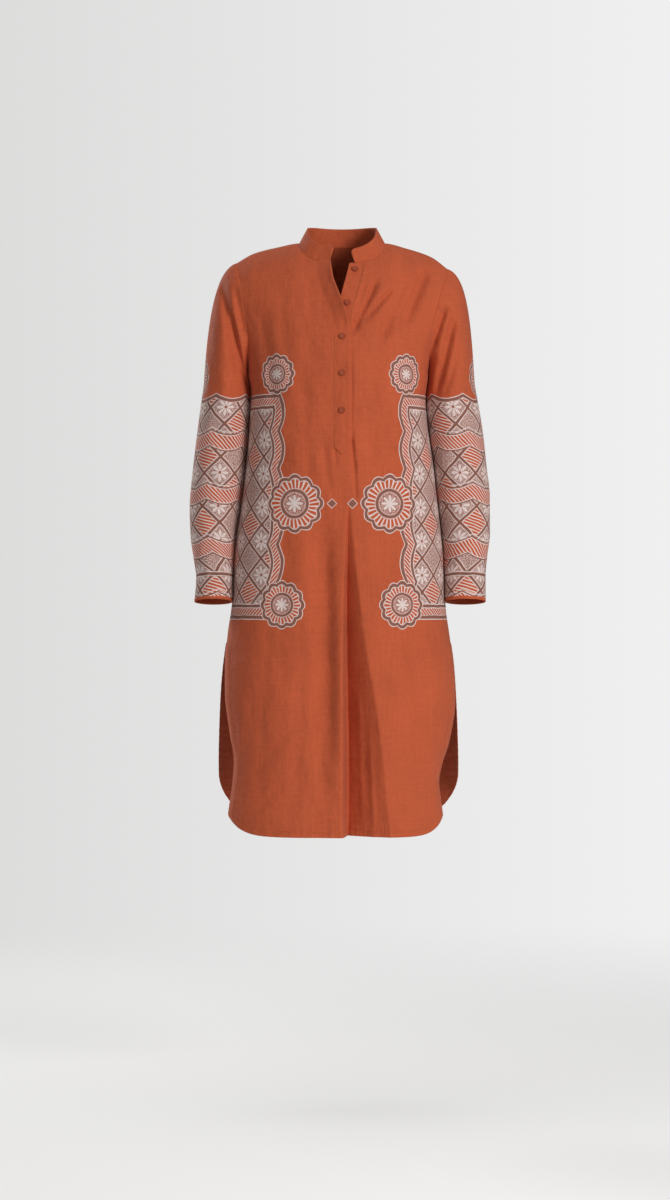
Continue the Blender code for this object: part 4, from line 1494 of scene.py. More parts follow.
@dataclass(frozen=True)
class FrontPanel:
    """The front, cut in one, with a slot for the plackets and a pleat below it."""

    finishes: Finishes
    outer_columns: int = 34
    neck_columns: int = 30
    slot_columns: int = 16
    hem_z: float = -1.001
    corner_rise: float = 0.032
    corner_power: float = 9.0
    hem_width: float = 0.0080
    stitch_start: float = 0.04
    flat_width: float = 0.570
    flat_length: float = 1.060
    flat_area: float = 0.466

    def neck_angles(self, side: Side) -> np.ndarray:
        """Return the angles on the front neckline at which the front's columns end."""
        share = np.linspace(0, 1, self.neck_columns + 1)
        return BODY.neck_angle(BODY.slot_edge(side, SLOT["height"][0])) * share

    def hem(self, across: np.ndarray) -> np.ndarray:
        """Return the hem's height by the share of the way from the side edge."""
        return self.hem_z + self.corner_rise * (1 - across) ** self.corner_power

    def half(self, side: Side) -> np.ndarray:
        """Return x, z of half the front, from its side edge to the slot, in rows going down."""
        across = np.concatenate(
            [
                ROWS.neck_share * edge_shares(self.outer_columns),
                np.linspace(ROWS.neck_share, 1, self.neck_columns + 1)[1:],
            ]
        )
        ridge_share = edge_shares(self.outer_columns)
        neck_x = BODY.centre_x + side.value * BODY.neck_half_width
        ridge_x = mix(BODY.edge(side, "front_x", np.array(0.0)), neck_x, ridge_share)
        ridge = np.stack([ridge_x, RIDGE.read("height", ridge_x)], axis=-1)
        neck = np.stack(BODY.neckline(side, self.neck_angles(side)), axis=-1)
        top = np.concatenate([ridge, neck[1:]])
        down = ROWS.yoke_drops()
        start_z, end_z = mix(top[0, 1], ROWS.yoke_base, down), mix(top[-1, 1], ROWS.yoke_base, down)
        bottom_z = np.full_like(across, ROWS.yoke_base)
        bottom_x = mix(BODY.edge(side, "front_x", bottom_z), BODY.slot_edge(side, bottom_z), across)
        yoke = patch(
            top,
            np.stack([bottom_x, bottom_z], axis=-1),
            np.stack([BODY.edge(side, "front_x", start_z), start_z], axis=-1),
            np.stack([BODY.slot_edge(side, end_z), end_z], axis=-1),
            across,
            down,
        )
        turn = np.cos(self.neck_angles(side)[1:])
        weight = np.concatenate([ridge_share**2, (turn - turn[-1]) / (1 - turn[-1])])
        ROWS.bend_out(yoke, side.value * weight)
        z = ROWS.below(self.hem(across))
        x = mix(BODY.edge(side, "front_x", z), BODY.slot_edge(side, z), across)
        return np.concatenate([yoke, np.stack([x, z], axis=-1)])

    def cut(self) -> Cut:
        """Return the panel's points, with the slot cut out."""
        right, left = self.half(Side.RIGHT), self.half(Side.LEFT)[:, ::-1]
        share = np.linspace(0, 1, self.slot_columns + 1)[1:-1][None, :, None]
        middle = mix(right[:, -1:], left[:, :1], share)
        place = np.concatenate([right, middle, left], axis=1)
        rolled = BODY.roll(right[..., 0], right[..., 1])
        lift = np.concatenate([rolled, np.zeros((len(rolled), place.shape[1] - rolled.shape[1]))], axis=1)
        x, z = place[..., 0], place[..., 1]
        lift += edge_lift(x, z)
        points = BODY.points(Face.FRONT, x, z, lift)
        keep = np.ones((points.shape[0] - 1, points.shape[1] - 1), bool)
        first = right.shape[1] - 1
        keep[: ROWS.yoke + ROWS.slot, first : first + self.slot_columns] = False
        run = run_along(np.stack([x, BODY.smooth_y(Face.FRONT, x, z)[0]], axis=-1), (0, 1))
        middle = first + self.slot_columns // 2
        run += (x - run)[:, middle, None] - BODY.centre_x
        return Cut(points, np.stack([run, points[..., 2]], axis=-1), keep=keep)

    def edge_stitching(self, stitches: Stitches) -> None:
        """Lay the row of stitches that follows both slits and the hem between them."""
        for side in Side:
            z = np.linspace(ROWS.slit_top, self.hem(np.array(0.0)) + self.hem_width, 200)
            x = BODY.edge(side, "front_x", z) - side.value * self.hem_width
            stitches.on_body(Face.FRONT, x, z, CLOTH.turned_rise)
            across = np.linspace(self.stitch_start, 1, 300)
            z = self.hem(across) + self.hem_width
            x = mix(BODY.edge(side, "front_x", z), BODY.slot_edge(side, z), across)
            stitches.on_body(Face.FRONT, x, z, CLOTH.turned_rise)

    def build(self, stitches: Stitches) -> bpy.types.Object:
        """Return the front panel, stitched along its open edges."""
        self.edge_stitching(stitches)
        finishes = self.finishes
        return add_cloth("front_panel", self.cut(), CLOTH.wall, finishes.body, finishes.inside)


@dataclass(frozen=True)
class BackPanel:
    """The back, cut in one, with a deep curved shirt-tail hem."""

    finishes: Finishes
    outer_columns: int = 28
    neck_columns: int = 60
    hem_z: float = -1.000
    corner_rise: float = 0.041
    corner_power: float = 5.0
    corner_start: float = -0.901
    corner_reach: float = 0.058
    corner_turn: float = 0.021
    corner_round: float = 2.2
    hem_width: float = 0.0080
    stitch_start: float = 0.02
    flat_width: float = 0.520
    flat_length: float = 1.060
    flat_area: float = 0.446

    def neck_angles(self) -> np.ndarray:
        """Return the angles on the back neckline at which the back's columns end."""
        return np.linspace(0, math.pi, self.neck_columns + 1)

    def hem(self, across: np.ndarray) -> np.ndarray:
        """Return the hem's height by the share of the way across."""
        return self.hem_z + self.corner_rise * abs(2 * across - 1) ** self.corner_power

    def edge_x(self, side: Side, z: np.ndarray) -> np.ndarray:
        """Return the x of a side edge, which turns in round the hem's corner."""
        turn = np.clip((self.corner_start - z) / self.corner_reach, 0, 1)
        return BODY.edge(side, "back_x", z) - side.value * self.corner_turn * turn**self.corner_round

    def cut(self) -> Cut:
        """Return the panel's points, with columns from the left side to the right."""
        neck_left, neck_right = BODY.centre_x + BODY.neck_half_width, BODY.centre_x - BODY.neck_half_width
        shares, at_top = edge_shares(self.outer_columns), np.array(0.0)
        turn = np.cos(self.neck_angles()[1:-1])
        top_x = np.concatenate(
            [
                mix(BODY.edge(Side.LEFT, "back_x", at_top), neck_left, shares),
                BODY.centre_x + BODY.neck_half_width * turn,
                mix(BODY.edge(Side.RIGHT, "back_x", at_top), neck_right, shares)[::-1],
            ]
        )
        top = np.stack([top_x, RIDGE.read("height", top_x)], axis=-1)
        neck_share = ROWS.neck_share / 2
        across = np.concatenate(
            [
                neck_share * shares,
                np.linspace(neck_share, 1 - neck_share, self.neck_columns + 1)[1:-1],
                1 - neck_share * shares[::-1],
            ]
        )
        down = ROWS.yoke_drops()
        left_z, right_z = mix(top[0, 1], ROWS.yoke_base, down), mix(top[-1, 1], ROWS.yoke_base, down)
        base_z = np.full_like(across, ROWS.yoke_base)
        base_x = mix(BODY.edge(Side.LEFT, "back_x", base_z), BODY.edge(Side.RIGHT, "back_x", base_z), across)
        yoke = patch(
            top,
            np.stack([base_x, base_z], axis=-1),
            np.stack([BODY.edge(Side.LEFT, "back_x", left_z), left_z], axis=-1),
            np.stack([BODY.edge(Side.RIGHT, "back_x", right_z), right_z], axis=-1),
            across,
            down,
        )
        ROWS.bend_out(yoke, np.concatenate([shares**2, turn, -(shares[::-1] ** 2)]))
        z = ROWS.below(self.hem(across))
        x = mix(self.edge_x(Side.LEFT, z), self.edge_x(Side.RIGHT, z), across)
        place = np.concatenate([yoke, np.stack([x, z], axis=-1)])
        x, z = place[..., 0], place[..., 1]
        points = BODY.points(Face.BACK, x, z, edge_lift(x, z))
        run = run_along(points, (0, 1))
        middle = np.argmin(abs(place[-1, :, 0] - BODY.centre_x))
        return Cut(points, np.stack([run - run[:, middle, None], points[..., 2]], axis=-1))

    def edge_stitching(self, stitches: Stitches) -> None:
        """Lay the row of stitches that follows both slits and the hem between them."""
        z = np.linspace(ROWS.slit_top, self.hem(np.array(0.0)) + self.hem_width, 200)
        for side in Side:
            x = self.edge_x(side, z) - side.value * self.hem_width
            stitches.on_body(Face.BACK, x, z, CLOTH.turned_rise)
        across = np.linspace(self.stitch_start, 1 - self.stitch_start, 500)
        z = self.hem(across) + self.hem_width
        x = mix(self.edge_x(Side.LEFT, z), self.edge_x(Side.RIGHT, z), across)
        stitches.on_body(Face.BACK, x, z, CLOTH.turned_rise)

    def build(self, stitches: Stitches) -> bpy.types.Object:
        """Return the back panel, stitched along its open edges."""
        self.edge_stitching(stitches)
        finishes = self.finishes
        return add_cloth("back_panel", self.cut(), CLOTH.wall, finishes.body, finishes.inside)


@dataclass(frozen=True)
class Collar:
    """The stand collar, open at the front, with rounded corners."""

    finishes: Finishes
    right_end_x: float = -0.015
    left_end_x: float = 0.026
    front_height: float = 0.0225
    back_height: float = 0.030
    side_lean: float = 0.014
    front_lean: float = 0.006
    front_y: float = -0.030
    back_y: float = 0.050
    corner_radius: float = 0.006
    rows: int = 16
    front_columns: int = 40
    end_columns: int = 14
    back_columns: int = 60
    edge_inset: float = 0.0022
    seam_lap: float = 0.0024
    flat_width: float = 0.400
    flat_length: float = 0.030

    def base(self) -> np.ndarray:
        """Return points along the neckline, from the collar's right end round the back."""
        fronts = []
        for side, end_x in ((Side.RIGHT, self.right_end_x), (Side.LEFT, self.left_end_x)):
            sewn = BODY.neck_angle(BODY.slot_edge(side, SLOT["height"][0]))
            round_neck = np.linspace(0, sewn, self.front_columns + 1)
            on_placket = np.linspace(sewn, BODY.neck_angle(end_x), self.end_columns + 1)[1:]
            angles = np.concatenate([round_neck, on_placket])
            x, z = BODY.neckline(side, angles)
            lift = BODY.roll(x, z) if side is Side.RIGHT else 0.0
            fronts.append(BODY.points(Face.FRONT, x, z, lift))
        turn = np.cos(np.linspace(math.pi, 0, self.back_columns + 1)[1:-1])
        back_x = BODY.centre_x + BODY.neck_half_width * turn
        back = BODY.points(Face.BACK, back_x, np.zeros_like(back_x))
        return np.concatenate([fronts[0][::-1], back, fronts[1]])

    def cut(self) -> Cut:
        """Return the collar's points, in rows going down to its seam."""
        base = self.base()
        run = np.concatenate([[0], np.cumsum(np.linalg.norm(np.diff(base, axis=0), axis=1))])
        corner = self.corner_radius * edge_shares(6)[1:]
        stations = np.sort(np.concatenate([run, corner, run[-1] - corner]))
        base = np.stack([np.interp(stations, run, base[:, i]) for i in range(3)], axis=-1)
        to_end = np.minimum(stations, run[-1] - stations)
        behind = soft_step((base[:, 1] - self.front_y) / (self.back_y - self.front_y))
        height = mix(self.front_height, self.back_height, behind)
        short = np.maximum(self.corner_radius - to_end, 0)
        height -= self.corner_radius - np.sqrt(self.corner_radius**2 - short**2)
        inward = np.stack([BODY.centre_x - base[:, 0], -base[:, 1]], axis=-1)
        inward /= np.linalg.norm(inward, axis=1, keepdims=True)
        lean = inward * np.array([self.side_lean, self.front_lean])
        share = np.linspace(1, 0, self.rows + 1)[:, None]
        rise = -self.seam_lap + share * (height[None] + self.seam_lap)
        place = base[None, :, :2] + lean[None] * (rise / height[None])[..., None]
        points = np.concatenate([place, (base[None, :, 2] + rise)[..., None]], axis=-1)
        flat = np.stack([np.broadcast_to(stations, rise.shape), rise], axis=-1)
        return Cut(points, flat)

    def edge_stitching(self, cut: Cut, stitches: Stitches) -> None:
        """Lay a row of stitches just inside the top edge and one just above the seam."""
        points = cut.points
        across = np.gradient(points, axis=1)
        down = np.gradient(points, axis=0)
        out = np.cross(down, across)
        out /= np.linalg.norm(out, axis=-1, keepdims=True)
        for share in (self.edge_inset / self.front_height, 1 - self.edge_inset / self.front_height):
            at = share * self.rows
            row = int(at)
            path = mix(points[row], points[row + 1], at - row)[3:-3]
            stitches.row(path, out[row][3:-3])

    def build(self, stitches: Stitches) -> bpy.types.Object:
        """Return the collar, stitched along its edges."""
        cut = self.cut()
        self.edge_stitching(cut, stitches)
        return add_cloth("collar_band", cut, CLOTH.collar_wall, self.finishes.plain, self.finishes.plain)


@dataclass(frozen=True)
class Plackets:
    """The two neck plackets: the pointed one on top, and the one under it."""

    finishes: Finishes
    columns: int = 24
    sewn_dense: float = 1.7
    rows: int = 170
    lap: float = 0.002
    side_end_z: float = -0.354
    point_z: float = -0.366
    edge_inset: float = 0.0022
    box_top_z: float = -0.3255
    seam_share: float = 0.5
    sewn_flush: float = 0.00003
    flush_z: float = -0.326
    flush_fade: float = 0.006
    sewn_from: float = 0.42
    free_round: float = 0.0030
    free_swell: float = 0.0011
    swell_top: float = -0.120
    swell_fade: float = 0.040
    over_width: float = 0.028
    over_length: float = 0.340
    under_width: float = 0.025
    under_length: float = 0.300

    def over_place(self, share: np.ndarray, down: np.ndarray) -> tuple[np.ndarray, np.ndarray]:
        """Return x, z on the over placket by shares of the way across and down.

        Args:
            share: The share of the way across, from the sewn edge.
            down: The share of the way down.

        Returns:
            The points' x and z.
        """
        top_x = mix(SLOT["right_x"][0], PLACKET["over_x"][0], share)
        end_z = mix(self.point_z, self.side_end_z, abs(2 * share - 1))
        z = mix(BODY.neck_height(top_x) - CLOTH.laid_on_gap, end_z, down)
        sewn_x = SLOT.read("right_x", np.maximum(z, ROWS.slot_end)) - self.lap
        return mix(sewn_x, PLACKET.read("over_x", z), share), z

    def over_cut(self) -> Cut:
        """Return the over placket's points, from its sewn edge to its free edge."""
        share = np.linspace(0, 1, self.columns + 1)[None, :] ** self.sewn_dense
        down = np.linspace(0, 1, self.rows + 1)[:, None]
        x, z = np.broadcast_arrays(*self.over_place(share, down))
        sewn = mix(CLOTH.laid_on_gap, self.sewn_flush, soft_step((z - self.flush_z) / self.flush_fade))
        lift = mix(sewn, CLOTH.on_top, soft_step(share / self.seam_share)) + BODY.roll(x, z)
        from_free = (PLACKET.read("over_x", z) - x) / self.free_round
        below_top = soft_step((self.swell_top - z) / self.swell_fade)
        lift = lift + self.free_swell * np.exp(-(from_free**2)) * below_top
        points = BODY.points(Face.FRONT, x, z, lift)
        return Cut(points, np.stack([x, z], axis=-1))

    def under_cut(self) -> Cut:
        """Return the under placket's points, from its free edge to its sewn edge."""
        share = np.linspace(0, 1, self.columns + 1)[None, :]
        down = np.linspace(0, 1, self.rows + 1)[:, None]
        top_x = mix(PLACKET["under_x"][0], SLOT["left_x"][0], share)
        z = mix(BODY.neck_height(top_x) - CLOTH.laid_on_gap, ROWS.slot_end, down)
        x = mix(PLACKET.read("under_x", z), BODY.slot_edge(Side.LEFT, z), share)
        return Cut(BODY.points(Face.FRONT, x, z), np.stack([x, z], axis=-1))

    def edge_stitching(self, stitches: Stitches) -> None:
        """Lay the rows along both edges of the over placket, its box and its point."""
        down = np.linspace(self.sewn_from, 1, 300)
        x, z = self.over_place(np.zeros_like(down), down)
        lines = [(x + self.edge_inset, z)]
        down = np.linspace(0.012, 1, 400)
        x, z = self.over_place(np.ones_like(down), down)
        lines.append((x - self.edge_inset, z))
        share = np.linspace(0.08, 0.92, 40)
        x, z = self.over_place(share, np.ones_like(share))
        lines.append((x, z + self.edge_inset))
        box_x = np.linspace(x[0], x[-1], 30)
        lines.append((box_x, np.full_like(box_x, self.box_top_z)))
        z = np.linspace(SLOT["height"][0] - self.edge_inset, ROWS.slot_end, 300)
        lines.append((BODY.slot_edge(Side.LEFT, z) + self.edge_inset / 2, z))
        for number, (x, z) in enumerate(lines):
            lift = 0.0 if number == len(lines) - 1 else CLOTH.on_top + BODY.roll(x, z)
            stitches.on_body(Face.FRONT, x, z, lift)

    def build(self, stitches: Stitches) -> tuple[bpy.types.Object, bpy.types.Object]:
        """Return the over placket and the under placket."""
        self.edge_stitching(stitches)
        plain = self.finishes.plain
        over = add_cloth("placket_over", self.over_cut(), CLOTH.wall, plain, plain)
        under = add_cloth("placket_under", self.under_cut(), CLOTH.wall, plain, plain)
        return over, under


@dataclass(frozen=True)
class Sleeve:
    """One long set-in sleeve with its band cuff."""

    finishes: Finishes
    side: Side
    columns: int = 112
    cap_rows: int = 56
    arm_rows: int = 110
    cuff_rows: int = 16
    cuff_seam_z: float = -0.570
    cuff_end_z: float = -0.610
    start_pull: float = 0.50
    end_pull: float = 1.55
    start_dip: float = 0.35
    end_flare: float = 0.06
    edge_inset: float = 0.0024
    tuck_in: float = 0.0030
    tuck_under: float = 0.030
    tuck_drop: float = 0.5
    under_power: float = 6.0
    under_dip: float = 0.4
    under_lap: float = 1.5
    fold_side: float = 0.14
    body_gap: float = -0.0003
    body_lap: float = 0.050
    sleeve_width: float = 0.340
    sleeve_length: float = 0.560
    sleeve_area: float = 0.145
    cuff_width: float = 0.225
    cuff_length: float = 0.041

    def angles(self) -> np.ndarray:
        """Return the angles round the sleeve, from its inner side round its outer side."""
        around = np.linspace(-math.pi, math.pi, self.columns + 1)[:-1]
        return -self.side.value * around

    def ring(self, height: float) -> np.ndarray:
        """Return the sleeve's ring at a height, which tilts to lie across the forearm."""
        rings, angle = SLEEVES[self.side], self.angles()
        names = RING_COLUMNS.split()[1:]
        outer_x, centre_y, half_depth, tilt = (rings.read(name, np.array(height)) for name in names)
        gap = self.body_gap - self.body_lap * max(-float(centre_y), 0.0)
        inner_x = BODY.edge(self.side, "front_x", np.array(height)) + self.side.value * gap
        x = (outer_x + inner_x) / 2 + (outer_x - inner_x) / 2 * np.cos(angle)
        y = centre_y - half_depth * np.sin(angle)
        return np.stack([x, y, height - tilt * (y - centre_y)], axis=-1)

    def armhole(self) -> np.ndarray:
        """Return the armhole's seam, just outside the body."""
        angle, heights = self.angles(), SIDES[self.side]["height"]
        z = mix(heights[0], heights[UNDERARM_ROW], (1 - np.cos(angle)) / 2)
        x = BODY.edge(self.side, "front_x", z)
        y = np.where(np.sin(angle) >= 0, BODY.y_at(Face.FRONT, x, z), BODY.y_at(Face.BACK, x, z))
        under = ((1 - np.cos(angle)) / 2) ** self.under_power
        return np.stack([x + self.side.value * CLOTH.seam_gap * (1 - self.under_lap * under), y, z], axis=-1)

    def flat(self, points: np.ndarray, heights: np.ndarray) -> np.ndarray:
        """Return where rings lie on the flat cut, with the outer side at 0.

        Args:
            points: The rings' points.
            heights: The height of each on the cut.

        Returns:
            The flat x and y of each point.
        """
        closed = np.concatenate([points, points[:, :1]], axis=1)
        run = run_along(closed, (0, 1, 2))
        run -= run[:, self.columns // 2, None]
        return np.stack(np.broadcast_arrays(run, heights), axis=-1)

    def sleeve_cut(self) -> Cut:
        """Return the sleeve's points, in rows from the armhole to the cuff's seam."""
        side = self.side.value
        top = SLEEVES[self.side]["height"][0]
        start, end = self.armhole(), self.ring(top)
        distance = np.linalg.norm(end - start, axis=1, keepdims=True)
        under = ((1 - np.cos(self.angles()[:, None])) / 2) ** self.under_power
        leave = np.array([side, 0.0, -self.start_dip]) - under * np.array([side, 0, self.under_dip])
        leave *= distance * self.start_pull
        arrive = distance * self.end_pull * np.array([side * self.end_flare, 0.0, -1.0])
        share = np.linspace(0, 1, self.cap_rows + 1)[:, None, None]
        cap = hermite(start, end, leave, arrive, share)
        tuck = start - np.array([side * self.tuck_in, 0, 0])
        tuck += (np.array([0, BODY.ridge_y, 0]) - start * np.array([0, 1, 0])) * self.tuck_under
        tuck[:, 2] -= self.tuck_in * self.tuck_drop * np.cos(self.angles())
        heights = np.linspace(top, self.cuff_seam_z, self.arm_rows + 1)[1:]
        cap = np.concatenate([tuck[None], cap])
        points = np.concatenate([cap, [self.ring(height) for height in heights]])
        facing = np.sin(self.angles()) / self.fold_side
        x, z = points[..., 0], points[..., 2]
        before = press_all(SLEEVE_FOLDS[self.side], x, z) * soft_step(facing)
        points[..., 1] += before - press_all(SLEEVE_BACK_FOLDS[self.side], x, z) * soft_step(-facing)
        cap_z = np.concatenate([cap[..., 2], cap[:, :1, 2]], axis=1)
        arm_z = np.broadcast_to(heights[:, None], (self.arm_rows, self.columns + 1))
        flat = self.flat(points, np.concatenate([cap_z, arm_z]))
        flat[: self.cap_rows + 1, :, 0] = flat[self.cap_rows + 1, :, 0]
        return Cut(points, flat, closed=True)

    def cuff_cut(self) -> Cut:
        """Return the cuff's points, in rows from its seam to its open end."""
        heights = np.linspace(self.cuff_seam_z, self.cuff_end_z, self.cuff_rows + 1)
        points = np.stack([self.ring(height) for height in heights])
        return Cut(points, self.flat(points, heights[:, None]), closed=True)

    def edge_stitching(self, stitches: Stitches) -> None:
        """Lay a row of stitches just inside each edge of the cuff."""
        angle = self.angles()
        out = np.stack([self.side.value * np.cos(angle), -np.sin(angle), np.zeros_like(angle)], axis=-1)
        out = np.concatenate([out, out[:1]])
        for height in (self.cuff_seam_z - self.edge_inset, self.cuff_end_z + self.edge_inset):
            ring = self.ring(height)
            stitches.row(np.concatenate([ring, ring[:1]]), out)

    def build(self, stitches: Stitches) -> tuple[bpy.types.Object, bpy.types.Object]:
        """Return the sleeve and its cuff."""
        self.edge_stitching(stitches)
        outside, inside, word = self.finishes.sleeve, self.finishes.inside, self.side.word
        sleeve = add_cloth(f"sleeve_{word}", self.sleeve_cut(), CLOTH.wall, outside, inside)
        cuff = add_cloth(f"cuff_{word}", self.cuff_cut(), CLOTH.wall, outside, inside)
        return sleeve, cuff


@dataclass(frozen=True)
class Button:
    """One small turned button with a rim, sewn to a placket."""

    number: int
    x: float
    z: float
    on_over_placket: bool
    radius: float = 0.0053
    thickness: float = 0.0026
    rim_width: float = 0.0012
    dish: float = 0.0007
    edge: float = 0.0005
    seat_gap: float = 0.0004
    thread_apart: float = 0.0009
    thread_reach: float = 0.00165
    thread_rise: float = 0.0002
    steps: int = 48

    def profile(self) -> tuple[tuple[float, float], ...]:
        """Return half of the button's section, from the top's centre to the underside's."""
        dish_z, dish_radius = self.thickness - self.dish, self.radius - self.rim_width
        return (
            (0.0, dish_z),
            (dish_radius * 0.6, dish_z + self.dish * 0.04),
            (dish_radius - self.edge, dish_z + self.dish * 0.15),
            (dish_radius, self.thickness - self.edge / 2),
            (dish_radius + self.edge / 2, self.thickness - self.edge * 0.08),
            (dish_radius + self.rim_width / 2, self.thickness),
            (self.radius - self.edge, self.thickness - self.edge * 0.1),
            (self.radius - self.edge * 0.2, self.thickness - self.edge * 0.5),
            (self.radius, self.thickness - self.edge * 1.2),
            (self.radius, self.edge),
            (self.radius - self.edge, 0.0),
            (0.0, 0.0),
        )

    def sew(self, stitches: Stitches, centre: np.ndarray, out: np.ndarray) -> None:
        """Lay the two threads that hold the button, side by side over its dish."""
        beside = np.cross(out, np.array([0.0, 0.0, 1.0]))
        beside /= np.linalg.norm(beside)
        along = np.cross(beside, out)
        top = centre + out * (self.thickness - self.dish + self.thread_rise)
        for aside in (-self.thread_apart, self.thread_apart):
            ends = np.array([-self.thread_reach, 0.0, self.thread_reach])[:, None]
            stitches.row(top + aside * beside + ends * along, np.repeat(out[None], 3, axis=0))

    def build(self, finishes: Finishes, stitches: Stitches) -> bpy.types.Object:
        """Return the button, facing straight out from its placket and sewn on."""
        profile = [(radius, 0.0, z) for radius, z in self.profile()]
        mesh = bpy.data.meshes.new(f"turned_button_{self.number}")
        mesh.from_pydata(profile, [(i, i + 1) for i in range(len(profile) - 1)], [])
        piece = add_piece(mesh.name, mesh, (finishes.button,))
        turn = piece.modifiers.new("Turn", "SCREW")
        turn.axis = "Z"
        turn.steps = self.steps
        turn.render_steps = self.steps
        turn.use_merge_vertices = True
        turn.merge_threshold = 0.01 * MM
        turn.use_smooth_shade = True
        lift = self.seat_gap + (CLOTH.on_top if self.on_over_placket else 0.0)
        x, z = np.array(self.x), np.array(self.z)
        centre, out = BODY.points(Face.FRONT, x, z, lift), BODY.out(Face.FRONT, x, z)
        piece.location = Vector(centre)
        piece.rotation_euler = Vector(out).to_track_quat("Z", "Y").to_euler()
        self.sew(stitches, centre, out)
        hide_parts(f"button_{self.number}")
        return piece


BUTTONS = (
    Button(1, 0.0266, -0.0518, False),
    Button(2, 0.0135, -0.1110, False),
    Button(3, 0.0050, -0.1690, True),
    Button(4, 0.0050, -0.2300, True),
    Button(5, 0.0050, -0.2924, True),
)


# The studio

Place = tuple[float, float, float]

# Each lamp's name, place, width in metres and power in watts
LAMPS = (
    ("key_light", (1.95, -3.0, 0.40), 1.0, 86.0),
    ("fill_light", (-1.1, -4.3, 0.2), 2.0, 13.0),
    ("top_light", (-0.4, -0.2, 3.4), 2.4, 22.0),
    ("back_light", (-2.6, 2.7, 1.2), 1.6, 84.0),
)


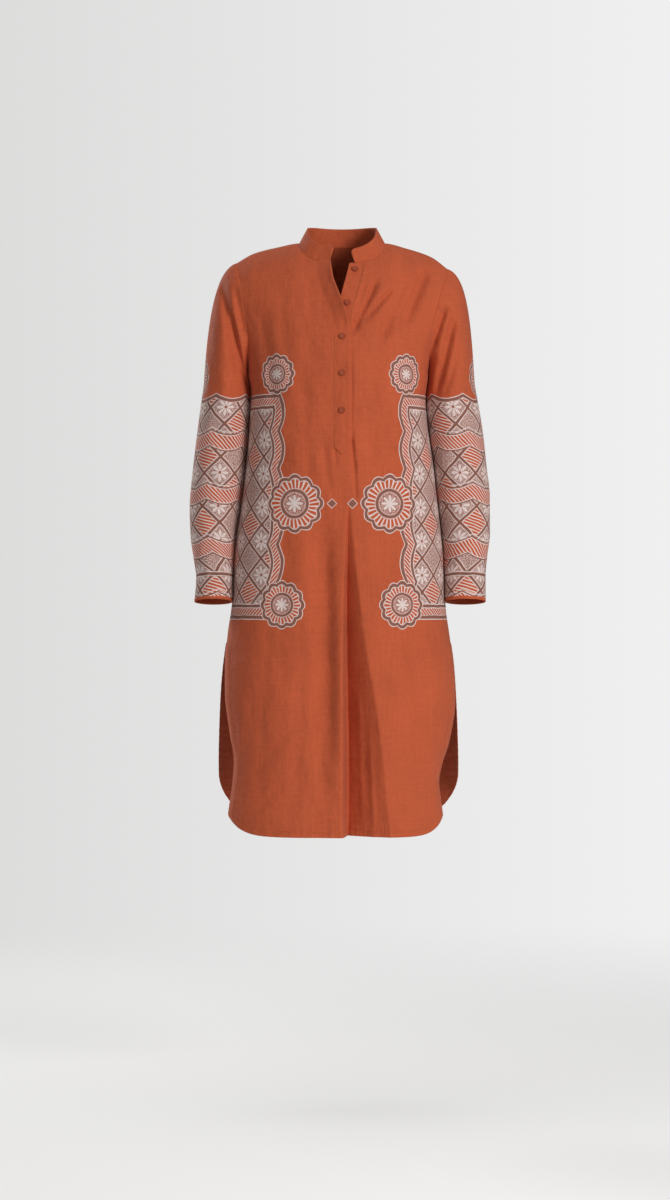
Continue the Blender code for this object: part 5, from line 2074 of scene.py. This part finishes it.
@dataclass(frozen=True)
class Studio:
    """A pale floor that fades into a pale dome all round, soft lights and the camera."""

    floor_z: float = -1.480
    floor_radius: float = 7.0
    floor_glow: float = 0.17
    fade_start: float = 0.4
    fade_reach: float = 2.7
    dome_radius: float = 9.0
    paper: Colour = (0.86, 0.86, 0.855, 1.0)
    # The dome's glow is painted light: painted shade on the left and painted light on the right, as the key
    # light falls from the right.
    dome_left: Colour = (0.72, 0.72, 0.715, 1.0)
    dome_right: Colour = (0.87, 0.87, 0.87, 1.0)
    dome_blend: float = 3.2
    dome_steps: int = 48
    aim: Place = (0.0, 0.0, -0.55)
    air_strength: float = 0.22
    camera_place: Place = (-0.007, -5.0, -0.607)
    film_height: float = 36.0
    focal_length: float = 88.2

    def stage(self, name: str, mesh: bpy.types.Mesh, shader: Shader) -> bpy.types.Object:
        """Return a mesh added to the scene as part of the studio."""
        mesh.shade_smooth()
        mesh.materials.append(shader.material)
        piece = bpy.data.objects.new(name, mesh)
        bpy.context.scene.collection.objects.link(piece)
        return piece

    def floor(self) -> bpy.types.Object:
        """Return the floor, which is lit as paper is and fades out far from the garment."""
        turn = np.linspace(0, 2 * math.pi, self.dome_steps, endpoint=False)
        rim = np.stack([np.cos(turn), np.sin(turn)], axis=-1) * self.floor_radius
        mesh = bpy.data.meshes.new("studio_floor")
        mesh.from_pydata([(x, y, self.floor_z) for x, y in rim], [], [tuple(range(self.dome_steps))])
        shader = Shader("studio_floor")
        x, y = shader.own_axes()
        away = (x * x + y * y) ** 0.5
        faded = shader.math("ADD", (away - self.fade_start) / self.fade_reach, 0.0, clamp=True)
        shown = 1 - faded * faded * (3 - faded * 2)
        glow = {"Emission_Color": self.paper, "Emission_Strength": self.floor_glow}
        shader.set(Base_Color=self.paper, Roughness=0.95, Specular_IOR_Level=0.1, Alpha=shown, **glow)
        return self.stage("studio_floor", mesh, shader)

    def dome(self) -> bpy.types.Object:
        """Return the dome, which glows with painted light, darker on the left and brighter on the right where
        the key light falls, and lights nothing.
        """
        around = np.linspace(0, 2 * math.pi, self.dome_steps, endpoint=False)
        up = np.linspace(-math.pi / 2, math.pi / 2, self.dome_steps)
        x = self.dome_radius * np.cos(up)[:, None] * np.cos(around)
        y = self.dome_radius * np.cos(up)[:, None] * np.sin(around)
        z = self.dome_radius * np.sin(up)[:, None] + 0 * x
        count = self.dome_steps
        faces = []
        for row in range(count - 1):
            for column in range(count):
                beside = (column + 1) % count
                low, high = row * count, (row + 1) * count
                faces.append((low + column, low + beside, high + beside, high + column))
        mesh = bpy.data.meshes.new("studio_dome")
        mesh.from_pydata(np.stack([x, y, z], axis=-1).reshape(-1, 3).tolist(), [], faces)
        shader = Shader("studio_dome")
        share = shader.math("ADD", shader.own_axes()[0] / self.dome_blend, 0.5, clamp=True)
        glow = shader.blend(share, self.dome_left, self.dome_right)
        shader.set(
            Base_Color=(0.0, 0.0, 0.0, 1.0),
            Specular_IOR_Level=0.0,
            Emission_Color=glow,
            Emission_Strength=1.0,
        )
        dome = self.stage("studio_dome", mesh, shader)
        for ray in ("diffuse", "glossy", "transmission", "volume_scatter", "shadow"):
            setattr(dome, f"visible_{ray}", False)
        return dome

    def lamp(self, name: str, place: Place, size: float, power: float) -> bpy.types.Object:
        """Return a square soft light that faces the garment's middle."""
        data = bpy.data.lights.new(name, "AREA")
        data.shape = "SQUARE"
        data.size = size
        data.energy = power
        lamp = bpy.data.objects.new(name, data)
        lamp.location = place
        lamp.rotation_euler = (Vector(self.aim) - Vector(place)).to_track_quat("-Z", "Y").to_euler()
        lamp.visible_camera = False
        bpy.context.scene.collection.objects.link(lamp)
        return lamp

    def camera(self) -> bpy.types.Object:
        """Return the camera at the photograph's viewing angle."""
        data = bpy.data.cameras.new("camera")
        data.sensor_fit = "VERTICAL"
        data.sensor_height = self.film_height
        data.lens = self.focal_length
        camera = bpy.data.objects.new("camera", data)
        camera.location = self.camera_place
        camera.rotation_euler = (math.pi / 2, 0, 0)
        bpy.context.scene.collection.objects.link(camera)
        bpy.context.scene.camera = camera
        return camera

    def build(self) -> None:
        """Set up the studio."""
        self.floor()
        self.dome()
        for lamp in LAMPS:
            self.lamp(*lamp)
        world = bpy.data.worlds.new("studio_air")
        world.use_nodes = True
        world.node_tree.nodes["Background"].inputs["Color"].default_value = (1.0, 1.0, 1.0, 1.0)
        world.node_tree.nodes["Background"].inputs["Strength"].default_value = self.air_strength
        bpy.context.scene.world = world
        bpy.context.scene.view_settings.view_transform = "Standard"
        self.camera()


def main() -> None:
    """Build the garment's pieces in order, then the studio."""
    logging.basicConfig(level=logging.INFO, format="%(name)s %(message)s")
    finishes = Finishes.make()
    stitches = Stitches()
    front_panel, back_panel = FrontPanel(finishes), BackPanel(finishes)
    front, back = front_panel.build(stitches), back_panel.build(stitches)
    collar = Collar(finishes)
    collar_piece = collar.build(stitches)
    plackets = Plackets(finishes)
    over, under = plackets.build(stitches)
    sleeves = [Sleeve(finishes, side) for side in Side]
    sleeve_pieces = [sleeve.build(stitches) for sleeve in sleeves]
    for button in BUTTONS:
        button.build(finishes, stitches)
    thread = stitches.build("stitching", finishes.thread)
    Studio().build()


if __name__ == "__main__":
    main()
